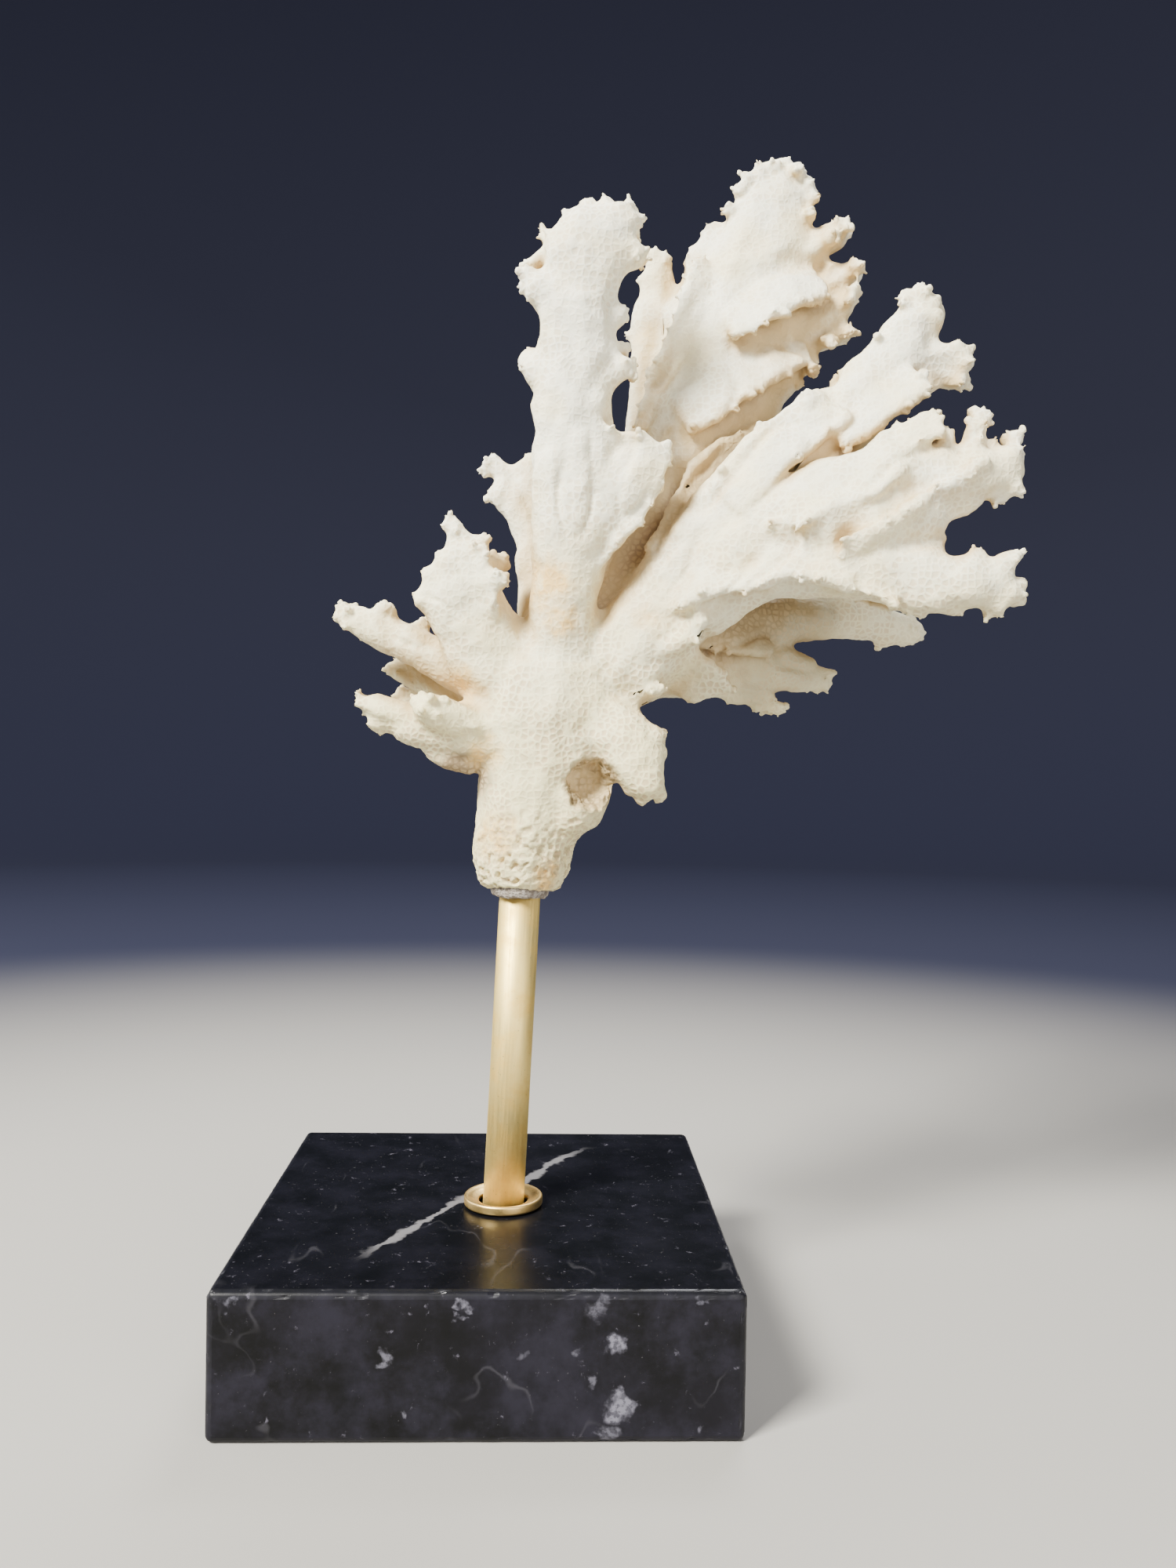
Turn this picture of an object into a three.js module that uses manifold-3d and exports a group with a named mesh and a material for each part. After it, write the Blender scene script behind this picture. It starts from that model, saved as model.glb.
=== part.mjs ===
// A piece of branching coral on a brass stem, stood in a block of black marble.
//
// Millimetres, +Z up. The origin is the centre of the block's underside and the
// block's front faces -Y. The coral is split at its main forks, one solid for
// each fork. Every fork is made of limbs, which are tapered tubes bent along a
// smooth spine, and of fingers, which are the short blunt tips that grow from
// the edges of a limb. Manifold joins them, and clears each fork from the forks
// that it grows out of.

import * as THREE from 'three';
import { mergeVertices } from 'three/addons/utils/BufferGeometryUtils.js';
import { RoundedBoxGeometry } from 'three/addons/geometries/RoundedBoxGeometry.js';
import Module from 'manifold-3d';

const wasm = await Module();
wasm.setup();

// ---- Driving dimensions -----------------------------------------------------

const GAP = 0.3; // clearance between two pieces that touch

const BLOCK_SIDE = 100;
const BLOCK_HEIGHT = 28.4;
const BLOCK_EDGE_RADIUS = 1.45;
const BLOCK_EDGE_STEPS = 2;

const STEM_RADIUS = 4.5;
const STEM_FOOT = new THREE.Vector3(3.1, -4, BLOCK_HEIGHT); // where its axis meets the block's top
const STEM_LEAN_DEGREES = 2.2; // towards +X
const STEM_IN_BLOCK = 18;
const STEM_SHOWING = 69;
const STEM_IN_CORAL = 14;
const STEM_SIDES = 40;

const COLLAR_RADIUS = 8.65;
const COLLAR_HEIGHT = 2;
const COLLAR_HOLE_RADIUS = 5.4;
const COLLAR_EDGE = 0.5; // rounding of the flange's rim
const COLLAR_DISH = 1; // how far the dished top drops from the rim to the hole
const COLLAR_SIDES = 28;

const GLUE_RADIUS = 6.1;
const GLUE_HEIGHT = 2;
const GLUE_PROUD = 0.8; // how far the bead stands below the coral's foot
const GLUE_SIDES = 14;

const LIMB_TUBE = { sides: 10, capRing: true };
const FINGER_TUBE = { sides: 6, capRing: false };
const FINGER_ROOT_SWELL = 1.3; // a finger's root radius over its tip radius
const FINGER_LEAN = 0.55; // how far a finger leans along its limb, over its reach
const STEEP = 0.8; // a finger that runs this much along Y has its sides set by X instead
const SPINE_SAMPLES = 24; // places tried along a limb when a finger looks for its root
const FACING_FRONT = [0.1, -1, 0.05];

// The broken end of an old branch, low on the front of the trunk, is a hollow cup.
const CUP_CENTRE = new THREE.Vector3(21.5, -14.5, 121);
const CUP_RADIUS = 4.6;
const CUP_SIDES = 10;
const CUP_RINGS = 7;

// ---- Solids -----------------------------------------------------------------

// A three.js geometry as a manifold solid: only positions, shared vertices
// merged, and the collapsed triangles at the poles left out.
function solid(geometry) {
  const bare = geometry.clone();
  bare.deleteAttribute('normal');
  bare.deleteAttribute('uv');
  const merged = mergeVertices(bare, 1e-3);
  const index = merged.index.array;
  const triangles = [];
  for (let i = 0; i < index.length; i += 3) {
    const [a, b, c] = [index[i], index[i + 1], index[i + 2]];
    if (a !== b && b !== c && c !== a) {
      triangles.push(a, b, c);
    }
  }
  return new wasm.Manifold(new wasm.Mesh({
    numProp: 3,
    vertProperties: Float32Array.from(merged.attributes.position.array),
    triVerts: Uint32Array.from(triangles),
  }));
}

function geometryOf(manifold) {
  const mesh = manifold.getMesh();
  const geometry = new THREE.BufferGeometry();
  geometry.setAttribute('position', new THREE.BufferAttribute(Float32Array.from(mesh.vertProperties), 3));
  geometry.setIndex(new THREE.BufferAttribute(Uint32Array.from(mesh.triVerts), 1));
  geometry.computeVertexNormals();
  return geometry;
}

function joined(solids) {
  return solids.reduce((whole, part) => whole.add(part));
}

// A cut can leave loose chips behind, so only the largest body is kept.
function largest(manifold) {
  const bodies = manifold.decompose();
  return bodies.reduce((big, body) => (body.volume() > big.volume() ? body : big));
}

// ---- Limbs and fingers ------------------------------------------------------

function spineOf(stations) {
  const points = stations.map(([x, y, z]) => new THREE.Vector3(x, y, z));
  return new THREE.CatmullRomCurve3(points, false, 'centripetal');
}

// The value in column `column` of the stations, at the place `u` along them.
function alongStations(stations, column, u) {
  const low = Math.min(Math.floor(u), stations.length - 2);
  return THREE.MathUtils.lerp(stations[low][column], stations[low + 1][column], u - low);
}

// A closed tapered tube with rounded ends. Each station is [x, y, z, half width,
// half thickness], and the flat side of the tube looks along `facing`. A straight
// unit tube is turned on a lathe, one unit long for each stretch, and its vertices
// are then moved on to the spine. `capRing` gives each end one more ring.
function limb(stations, facing, { sides, capRing }, grow = 0) {
  const last = stations.length - 1;
  const ring = Math.SQRT1_2;
  const startCap = capRing ? [[0, -1], [ring, -ring]] : [[0, -1]];
  const endCap = capRing ? [[ring, last + ring], [0, last + 1]] : [[0, last + 1]];
  const profile = [...startCap, ...stations.map((_, i) => [1, i]), ...endCap];
  const tube = new THREE.LatheGeometry(profile.map(([r, u]) => new THREE.Vector2(r, u)), sides);
  const spine = spineOf(stations);
  const front = new THREE.Vector3(...facing);
  const place = tube.attributes.position;
  const point = new THREE.Vector3();
  for (let i = 0; i < place.count; i += 1) {
    const u = THREE.MathUtils.clamp(place.getY(i), 0, last);
    const beyond = place.getY(i) - u;
    const tangent = spine.getTangent(u / last);
    const side = new THREE.Vector3().crossVectors(tangent, front).normalize();
    const face = new THREE.Vector3().crossVectors(side, tangent);
    const halfWidth = alongStations(stations, 3, u) + grow;
    const halfThickness = alongStations(stations, 4, u) + grow;
    point.copy(spine.getPoint(u / last));
    point.addScaledVector(side, place.getX(i) * halfWidth);
    point.addScaledVector(face, place.getZ(i) * halfThickness);
    point.addScaledVector(tangent, beyond * Math.min(halfWidth, halfThickness));
    place.setXYZ(i, point.x, point.y, point.z);
  }
  return solid(tube);
}

// The place on a fork's spines that a finger with this tip grows from.
function rootOf(tip, limbs) {
  const best = { distance: Infinity, point: null };
  for (const stations of limbs) {
    const spine = spineOf(stations);
    for (let i = 0; i <= SPINE_SAMPLES; i += 1) {
      const point = spine.getPoint(i / SPINE_SAMPLES);
      const tangent = spine.getTangent(i / SPINE_SAMPLES);
      const reach = point.distanceTo(tip);
      const aim = point.clone().addScaledVector(tangent, reach * FINGER_LEAN);
      if (aim.distanceTo(tip) < best.distance) {
        best.distance = aim.distanceTo(tip);
        best.point = point;
      }
    }
  }
  return best.point;
}

// A finger is [tip x, tip y, tip z, radius]. Its blunt end just reaches the tip.
function finger([x, y, z, radius], limbs, grow = 0) {
  const tip = new THREE.Vector3(x, y, z);
  const root = rootOf(tip, limbs);
  const along = tip.clone().sub(root).normalize();
  const end = tip.clone().addScaledVector(along, -radius);
  const rootRadius = radius * FINGER_ROOT_SWELL;
  const across = Math.abs(along.y) > STEEP ? [1, 0, 0] : [0, -1, 0];
  return limb([
    [root.x, root.y, root.z, rootRadius, rootRadius],
    [end.x, end.y, end.z, radius, radius],
  ], across, FINGER_TUBE, grow);
}

// ---- Stem and its holes -----------------------------------------------------

const stemAxis = new THREE.Vector3(0, 0, 1).applyAxisAngle(
  new THREE.Vector3(0, 1, 0),
  THREE.MathUtils.degToRad(STEM_LEAN_DEGREES),
);

function pointOnStem(distance) {
  return STEM_FOOT.clone().addScaledVector(stemAxis, distance);
}

// A cylinder on the stem's axis, between two distances from the block's top.
function onStem(radius, from, to, sides) {
  const cylinder = new THREE.CylinderGeometry(radius, radius, to - from, sides);
  cylinder.applyQuaternion(new THREE.Quaternion().setFromUnitVectors(new THREE.Vector3(0, 1, 0), stemAxis));
  const middle = pointOnStem((from + to) / 2);
  cylinder.translate(middle.x, middle.y, middle.z);
  return cylinder;
}

const stemTop = STEM_SHOWING + STEM_IN_CORAL;

function stemHole() {
  return solid(onStem(STEM_RADIUS + GAP, -STEM_IN_BLOCK - GAP, stemTop + GAP, STEM_SIDES));
}

// ---- The forks of the coral -------------------------------------------------

// Limb stations are [x, y, z, half width, half thickness], from the root out.
// Fingers are [tip x, tip y, tip z, radius]. `grownFrom` names the forks that
// this one is cleared from.
const FORKS = {
  coral_trunk: {
    grownFrom: [],
    limbs: [
      [[5.5, -3.5, 97.5, 2, 2], [5.5, -3.5, 98.5, 8.6, 8], [6, -3, 103.5, 10.5, 9.5],
        [6.5, -3, 110, 11.3, 10.4], [8, -3, 118, 12, 11], [10, -3, 127, 14, 12],
        [11.5, -3, 138, 17, 13], [12.5, -3, 147, 15, 11.5], [13, -4, 152, 10, 8]],
      [[11, -5, 113, 7, 6], [18, -8, 117.5, 6.4, 6], [20, -9.5, 120, 5.6, 5.4]],
    ],
    fingers: [[25.5, -9, 120, 2], [-1, 12, 133, 4], [22, 13, 131, 3.4], [12, 15, 142, 3]],
  },
  coral_lower_left_fork: {
    grownFrom: ['coral_trunk'],
    limbs: [
      [[2, -5, 134, 9, 8], [-7.5, -7, 132, 6.8, 6.2], [-16, -8, 133.5, 4.9, 4.5], [-23.5, -9, 136, 3.5, 3.3],
        [-28.5, -9, 138.5, 2.2, 2.1]],
      [[2, -5, 134, 5, 5], [-5.5, -10, 133.5, 4.2, 4], [-14, -15, 137, 3.2, 3]],
    ],
    fingers: [[-27.5, -9, 132, 2], [-31, -8, 141, 1.8], [-23.5, -9, 140, 1.9]],
  },
  coral_upper_left_fork: {
    grownFrom: ['coral_trunk', 'coral_lower_left_fork'],
    limbs: [
      [[4, -5, 141, 9, 7], [-2.5, -7, 151.5, 9.6, 5.8], [-7.5, -9, 161, 8.6, 4.8],
        [-7.5, -10, 169.5, 5.8, 3.9]],
      [[2, -2, 143, 6, 5], [-10, -2, 147, 4.8, 4.4], [-20, -2, 152, 4.2, 4], [-27.5, -2, 155, 3.4, 3.2],
        [-34, -2, 158, 2.2, 2]],
      [[0, 4, 139, 6, 5], [-10.5, 7, 142, 4.6, 4.4], [-19, 9, 145.5, 3.4, 3.2], [-23.5, 10, 147.5, 2.4, 2.2]],
      [[0, 6, 138, 5, 5], [-13, 11, 138, 3.5, 3.3], [-22, 14, 140.5, 2.3, 2.3]],
    ],
    fingers: [[-11, -11, 179, 2], [-6, -9, 175, 2.3], [-2, -10, 174.5, 2.1], [-16.5, -10, 167.5, 2.4],
      [-18.5, -11, 162, 2.3], [2.5, -2, 171, 2.1], [3, -16, 165, 2.2], [-25.5, -3, 161.5, 2.2]],
  },
  coral_front_lobe: {
    grownFrom: ['coral_trunk', 'coral_upper_left_fork'],
    limbs: [
      [[13.5, -6, 148, 8, 7], [14.5, -9, 164, 7.2, 6.3], [16, -11, 176, 9, 6], [16.5, -12, 187.5, 10, 5.7],
        [15.5, -13, 199.5, 8.8, 5.3], [16, -14, 212.5, 8.7, 5], [16, -15, 220.5, 7.8, 4.7],
        [17, -16, 230.5, 9.2, 4.4], [20.5, -16, 238, 7.4, 3.8]],
      [[16, -11, 174, 6.7, 4.8], [24.5, -12, 184.5, 8.6, 4.4], [31, -13, 191, 5.7, 3.8]],
    ],
    fingers: [[6, -13, 202.5, 2.9], [5, -14, 212, 2.7], [4.8, -16, 228.5, 3.2],
      [8.5, -16, 237.5, 2.6], [16, -16, 242, 2.6], [22.5, -15, 244, 2.6],
      [27, -16, 243.5, 2.5], [30, -15, 240, 2.5], [31.5, -15, 233, 3],
      [26.5, -14, 223, 2.3], [25.5, -14, 216, 2.2], [29, -14, 211.5, 3],
      [38, -14, 190.5, 2.8], [36, -13, 184, 2.4], [30, -13, 177, 2.4],
      [18, -6, 226, 2.4], [12, -5, 210, 2.4]],
  },
  coral_right_arm: {
    grownFrom: ['coral_trunk', 'coral_front_lobe'],
    limbs: [
      [[26, -3, 147, 11, 9], [36.5, -4, 159.5, 10.8, 7.9], [46, -6, 172, 11.6, 7],
        [57, -7, 184.5, 11.6, 6.6], [69, -7, 196.5, 9.4, 5.8], [79.5, -6, 207, 7, 5.3],
        [87.3, -5, 217, 6.2, 4.9], [91.5, -5, 225, 5.4, 4.3]],
    ],
    fingers: [[31, -6, 168, 2.3], [65.5, -12, 207.5, 2.7], [76, -6, 216, 2.2],
      [83.5, -5, 223, 2.3], [91, -5, 232.5, 3], [97.5, -5, 228, 2.7],
      [103.5, -6, 218, 2.9], [103.5, -4, 212.5, 2.6], [96, -6, 209.5, 2.3], [88.5, -7, 205.5, 2.3],
      [76, 4, 214, 2.4]],
  },
  coral_centre_lobe: {
    grownFrom: ['coral_trunk', 'coral_front_lobe', 'coral_right_arm'],
    limbs: [
      [[20, 3, 146, 9, 8], [30, 5.5, 166.5, 7.6, 6.5], [38, 8, 186.5, 9.3, 6.4], [47.5, 10, 205.5, 13.4, 6.7],
        [55, 12, 222, 15.4, 6.7], [59, 13, 236, 15, 6.2], [61, 14, 249, 11.4, 5.6], [63, 15, 261, 7.8, 4.7]],
      [[37, 12, 192.5, 5.2, 5.2], [39.5, 15, 216.5, 5.2, 6], [41.5, 16, 232, 3.6, 6],
        [44, 16, 241, 2.3, 4.2]],
    ],
    fingers: [[44.5, 15, 249, 2.5], [49.5, 15, 254.5, 2.4], [53.5, 15, 261.5, 2.5], [57.5, 16, 267.5, 2.4],
      [65, 16, 270, 3], [70.5, 15, 266, 2.7], [73.5, 15, 261.5, 2.6],
      [80, 14, 253.5, 3.2], [84, 14, 243.5, 3.2], [82.5, 12, 235.5, 2.9],
      [81.5, 12, 228, 2.1], [74, 12, 221, 2.5], [50, 24, 240, 3], [62, 24, 228, 3]],
  },
  coral_rear_fin: {
    grownFrom: ['coral_centre_lobe', 'coral_front_lobe'],
    limbs: [
      [[32.5, 10, 186, 4.2, 4.2], [33.5, 17, 211, 4.8, 3.2], [34.5, 19, 228.5, 5.2, 3.2],
        [35.5, 20, 241.5, 4.3, 2.8]],
    ],
    fingers: [[34, 20, 249.5, 2.1], [38, 20, 249, 2.2], [28.5, 19, 228, 2]],
  },
  coral_rear_left_blade: {
    grownFrom: ['coral_trunk', 'coral_front_lobe', 'coral_upper_left_fork', 'coral_centre_lobe'],
    limbs: [
      [[10, 2, 148, 6.5, 6], [10, 8, 166, 5.8, 4.4], [9, 11, 178.5, 6.4, 4], [4.5, 13, 190, 7.6, 3.7]],
    ],
    fingers: [[-4.8, 14, 197.5, 2.3], [-0.5, 15, 195.5, 2.1], [4, 13, 196.5, 2.3],
      [8.5, 14, 199.5, 2.4], [-4, 13, 188.5, 2], [8, 20, 190, 2.2]],
  },
  coral_right_fan: {
    grownFrom: ['coral_trunk', 'coral_right_arm'],
    limbs: [
      [[42, -6, 162, 9.6, 7.2], [58, -11, 174, 10.6, 6.7], [71.5, -15, 181, 10.4, 6.1],
        [84, -18, 186, 8.8, 5.2], [96, -19, 187, 7, 4.5], [104, -19, 188.5, 4.7, 3.7]],
      [[58, -12, 171, 8.5, 6], [79, -18, 168.5, 7, 5.1], [92.5, -21, 165, 6.5, 4.4],
        [102, -22, 165, 5.1, 3.7]],
    ],
    fingers: [[83, -16, 197.5, 2.1], [89, -18, 199.5, 2.2], [100.5, -20, 200, 2.2],
      [109.5, -20, 195, 2.6], [111.5, -19, 189.5, 2.5], [110, -20, 184, 2.2],
      [99, -19, 180, 2.4], [95, -18, 174.5, 2.2], [72, -22, 183, 2.2], [100.5, -22, 172.5, 2.2],
      [108, -23, 171, 2.5], [109.5, -22, 161.5, 2.6], [105, -22, 157, 2.1],
      [97, -21, 158, 2.1], [88.5, -20, 157.5, 2]],
  },
  coral_lower_fan: {
    grownFrom: ['coral_trunk', 'coral_right_arm', 'coral_centre_lobe', 'coral_right_fan'],
    limbs: [
      [[30, 3, 148, 9, 7], [53.5, 10, 158, 8.3, 6.2], [69, 15, 162, 6.3, 5.3], [84.5, 19, 162.5, 4.9, 4.5],
        [97, 21, 159.5, 3.4, 3.2]],
      [[34, 4, 149, 8, 6.7], [57, 11, 150, 7.3, 5.8], [67.5, 14, 149, 4.8, 4.6], [75, 16, 147, 3.4, 3.2]],
      [[28, 0, 148, 7, 6], [42.5, 4, 147.5, 6, 5], [51, 6, 145.5, 4.1, 4.1]],
    ],
    fingers: [[102.5, 21, 157, 2.9], [93, 21, 155, 2.2], [98, 20, 162.5, 2.1], [80, 16, 146, 2.9],
      [38.5, 2, 142, 2.4], [45, 3, 141, 2.3],
      [55, 7, 139.5, 2.4], [65, 11, 139.5, 2.6], [70, 25, 160, 2.6], [52, 22, 154, 3]],
  },
  coral_side_stub: {
    grownFrom: ['coral_trunk', 'coral_lower_fan', 'coral_right_arm'],
    limbs: [
      [[18, -5, 139, 8, 7], [26.5, -9, 132, 7.2, 5.8], [31, -11, 126, 6, 4.8], [33, -12, 122, 3.8, 3.4]],
    ],
    fingers: [[35, -8, 143, 2.2], [37.5, -11, 131.5, 2.5], [36.5, -12, 120.5, 2.4], [28, -10, 119, 1.9]],
  },
};

// A fork as one solid, `grow` bigger all round when it is used to clear another.
function fork({ limbs, fingers }, grow = 0) {
  return joined([
    ...limbs.map((stations) => limb(stations, FACING_FRONT, LIMB_TUBE, grow)),
    ...fingers.map((tip) => finger(tip, limbs, grow)),
  ]);
}

function cupHollow() {
  const ball = new THREE.SphereGeometry(CUP_RADIUS, CUP_SIDES, CUP_RINGS);
  ball.translate(CUP_CENTRE.x, CUP_CENTRE.y, CUP_CENTRE.z);
  return solid(ball);
}

// The trunk is drilled for the stem, and the glue bead sits in a shallow countersink.
const glueFoot = STEM_SHOWING - GLUE_PROUD;

function glueSeat() {
  return solid(onStem(GLUE_RADIUS + GAP, glueFoot - GLUE_HEIGHT, glueFoot + GLUE_HEIGHT + GAP, GLUE_SIDES));
}

function coralForks() {
  const grown = {};
  for (const [name, spec] of Object.entries(FORKS)) {
    grown[name] = fork(spec, GAP);
  }
  const forks = {};
  for (const [name, spec] of Object.entries(FORKS)) {
    const whole = fork(spec);
    const cleared = spec.grownFrom.reduce((rest, parent) => rest.subtract(grown[parent]), whole);
    forks[name] = largest(cleared);
  }
  const cuts = joined([stemHole(), cupHollow(), glueSeat()]);
  forks.coral_trunk = largest(forks.coral_trunk.subtract(cuts));
  return forks;
}

// ---- The stand --------------------------------------------------------------

function marbleBlock() {
  const side = BLOCK_SIDE;
  const box = new RoundedBoxGeometry(side, side, BLOCK_HEIGHT, BLOCK_EDGE_STEPS, BLOCK_EDGE_RADIUS);
  box.translate(0, 0, BLOCK_HEIGHT / 2);
  return geometryOf(solid(box).subtract(stemHole()));
}

function brassStem() {
  return geometryOf(solid(onStem(STEM_RADIUS, -STEM_IN_BLOCK, stemTop, STEM_SIDES)));
}

// A turned flange with a dished top, lying on the marble round the stem.
function brassCollar() {
  const rim = COLLAR_RADIUS;
  const top = COLLAR_HEIGHT;
  const profile = [
    [COLLAR_HOLE_RADIUS, 0],
    [rim - COLLAR_EDGE, 0],
    [rim, COLLAR_EDGE],
    [rim, top - COLLAR_EDGE],
    [rim - COLLAR_EDGE, top],
    [rim - 2 * COLLAR_EDGE, top],
    [rim - 4 * COLLAR_EDGE, top - COLLAR_DISH * 0.8],
    [COLLAR_HOLE_RADIUS, top - COLLAR_DISH],
    [COLLAR_HOLE_RADIUS, 0],
  ];
  const ring = new THREE.LatheGeometry(profile.map(([r, z]) => new THREE.Vector2(r, z)), COLLAR_SIDES);
  ring.rotateX(Math.PI / 2);
  ring.translate(STEM_FOOT.x, STEM_FOOT.y, BLOCK_HEIGHT + GAP);
  return geometryOf(solid(ring));
}

// The bead of glue round the stem where it enters the coral.
function glueBead() {
  const inner = STEM_RADIUS + GAP;
  const profile = [
    [inner, 0],
    [inner + GLUE_HEIGHT / 4, 0],
    [GLUE_RADIUS, GLUE_HEIGHT / 2],
    [GLUE_RADIUS, GLUE_HEIGHT],
    [inner, GLUE_HEIGHT],
    [inner, 0],
  ];
  const ring = new THREE.LatheGeometry(profile.map(([r, z]) => new THREE.Vector2(r, z)), GLUE_SIDES);
  ring.applyQuaternion(new THREE.Quaternion().setFromUnitVectors(new THREE.Vector3(0, 1, 0), stemAxis));
  const foot = pointOnStem(glueFoot);
  ring.translate(foot.x, foot.y, foot.z);
  return geometryOf(solid(ring));
}

// ---- Materials and the assembly ---------------------------------------------

const marble = new THREE.MeshStandardMaterial({ color: 0x17171f, roughness: 0.28, metalness: 0 });
const brass = new THREE.MeshStandardMaterial({ color: 0xd9bd6a, roughness: 0.32, metalness: 1 });
const bronze = new THREE.MeshStandardMaterial({ color: 0xa9813a, roughness: 0.35, metalness: 1 });
const glue = new THREE.MeshStandardMaterial({ color: 0x5a5248, roughness: 0.8, metalness: 0 });
const coral = new THREE.MeshStandardMaterial({ color: 0xf3eadb, roughness: 0.75, metalness: 0 });

const group = new THREE.Group();

function addMesh(name, geometry, material) {
  const mesh = new THREE.Mesh(geometry, material);
  mesh.name = name;
  group.add(mesh);
}

addMesh('marble_block', marbleBlock(), marble);
addMesh('brass_stem', brassStem(), brass);
addMesh('brass_collar', brassCollar(), bronze);
addMesh('glue_bead', glueBead(), glue);
for (const [name, body] of Object.entries(coralForks())) {
  addMesh(name, geometryOf(body), coral);
}

export default group;
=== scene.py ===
import math

import bmesh
import bpy
import numpy as np
from mathutils import Euler, Matrix, Vector
from mathutils.bvhtree import BVHTree


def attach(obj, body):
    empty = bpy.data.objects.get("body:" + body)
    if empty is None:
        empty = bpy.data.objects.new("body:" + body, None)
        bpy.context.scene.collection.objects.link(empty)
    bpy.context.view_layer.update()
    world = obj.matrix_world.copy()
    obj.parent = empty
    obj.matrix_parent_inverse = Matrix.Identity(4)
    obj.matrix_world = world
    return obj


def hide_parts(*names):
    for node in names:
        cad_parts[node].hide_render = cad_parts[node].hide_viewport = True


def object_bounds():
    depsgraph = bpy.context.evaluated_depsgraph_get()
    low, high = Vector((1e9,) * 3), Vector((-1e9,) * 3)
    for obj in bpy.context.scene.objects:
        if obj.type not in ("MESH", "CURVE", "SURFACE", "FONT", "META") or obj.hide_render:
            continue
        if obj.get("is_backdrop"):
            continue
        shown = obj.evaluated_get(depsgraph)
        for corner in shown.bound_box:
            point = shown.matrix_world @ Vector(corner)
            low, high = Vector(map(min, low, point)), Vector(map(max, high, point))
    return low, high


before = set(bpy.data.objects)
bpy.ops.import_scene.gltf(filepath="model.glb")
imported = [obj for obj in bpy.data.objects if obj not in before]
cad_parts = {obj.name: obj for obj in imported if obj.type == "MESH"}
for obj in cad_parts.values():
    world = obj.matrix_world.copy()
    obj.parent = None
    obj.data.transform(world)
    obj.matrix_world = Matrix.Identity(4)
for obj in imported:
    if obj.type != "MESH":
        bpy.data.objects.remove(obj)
cad_low, cad_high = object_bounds()
MM = 0.001  # one millimetre, in the metres that Blender works in
forks = sorted(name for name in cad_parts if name.startswith("coral_"))
print("CAD nodes:", len(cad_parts), "of which coral forks:", len(forks))

# %% [markdown]
# ## Small tools for node trees
#
# Materials and Geometry Nodes are both trees of nodes, and many nodes work in both. Placing each
# one by hand takes four or five lines, so a few short helpers do it. `node` adds a node, sets its
# options first, since they decide which sockets are in use, and then fills its inputs: a socket is
# linked and anything else is typed in.
#
# %% Helpers that add nodes


def node(tree, kind, inputs=None, **settings):
    """Adds a node, and links or sets the inputs given by name or by number."""
    made = tree.nodes.new(kind)
    for key, value in settings.items():
        setattr(made, key, value)
    for key, value in (inputs or {}).items():
        if isinstance(key, int):
            socket = made.inputs[key]
        else:
            socket = next(s for s in made.inputs if s.name == key and s.enabled)
        if isinstance(value, bpy.types.NodeSocket):
            tree.links.new(value, socket)
        else:
            socket.default_value = value
    return made


def first(made, name=None):
    """The first output in use, or the first in use with that name."""
    return next(s for s in made.outputs if s.enabled and name in (None, s.name))


def maths(tree, operation, *values):
    """A Math node on one, two or three values."""
    return node(tree, "ShaderNodeMath", dict(enumerate(values)), operation=operation).outputs[0]


def times(tree, *values):
    """Two or more values multiplied together."""
    product = values[0]
    for value in values[1:]:
        product = maths(tree, "MULTIPLY", product, value)
    return product


def vector_maths(tree, operation, *values):
    """A Vector Math node, giving a vector or, for a dot product or a length, a value."""
    made = node(tree, "ShaderNodeVectorMath", dict(enumerate(values)), operation=operation)
    return first(made)


def scaled(tree, vector, factor):
    """A vector times a number."""
    return first(node(tree, "ShaderNodeVectorMath", {0: vector, "Scale": factor}, operation="SCALE"))


def eased(tree, value, low, high, start=0.0, end=1.0):
    """Maps low..high of a value to start..end, smoothly, and holds it there outside."""
    inputs = {"Value": value, "From Min": low, "From Max": high, "To Min": start, "To Max": end}
    return first(node(tree, "ShaderNodeMapRange", inputs, interpolation_type="SMOOTHSTEP"))


def noise(tree, vector, scale, detail=2.0, roughness=0.5):
    """Soft noise around 0.5."""
    inputs = {"Vector": vector, "Scale": scale, "Detail": detail, "Roughness": roughness}
    return node(tree, "ShaderNodeTexNoise", inputs).outputs[0]


def cells(tree, vector, scale, randomness):
    """The distance to the nearest wall between the cells of a Voronoi pattern."""
    inputs = {"Vector": vector, "Scale": scale, "Randomness": randomness}
    return first(node(tree, "ShaderNodeTexVoronoi", inputs, feature="DISTANCE_TO_EDGE"), "Distance")


def blend(tree, factor, low, high):
    """Mixes two colours, each a socket or three numbers."""
    low, high = (c if isinstance(c, bpy.types.NodeSocket) else (*c, 1.0) for c in (low, high))
    return first(node(tree, "ShaderNodeMix", {"Factor": factor, "A": low, "B": high}, data_type="RGBA"))


# %% [markdown]
# A Geometry Nodes tree is built once and then run on a mesh as a modifier. Its inputs have plain
# names in the tree, but the modifier knows them by an identifier, so `run_tree` looks each one up
# and sets it before the object is first evaluated. The result is kept as a plain mesh and the
# modifier is taken off again, because later steps want finished meshes.
#
# %% Helpers that run a tree on a mesh
SOCKET_KINDS = {int: "NodeSocketInt", float: "NodeSocketFloat"}


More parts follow.
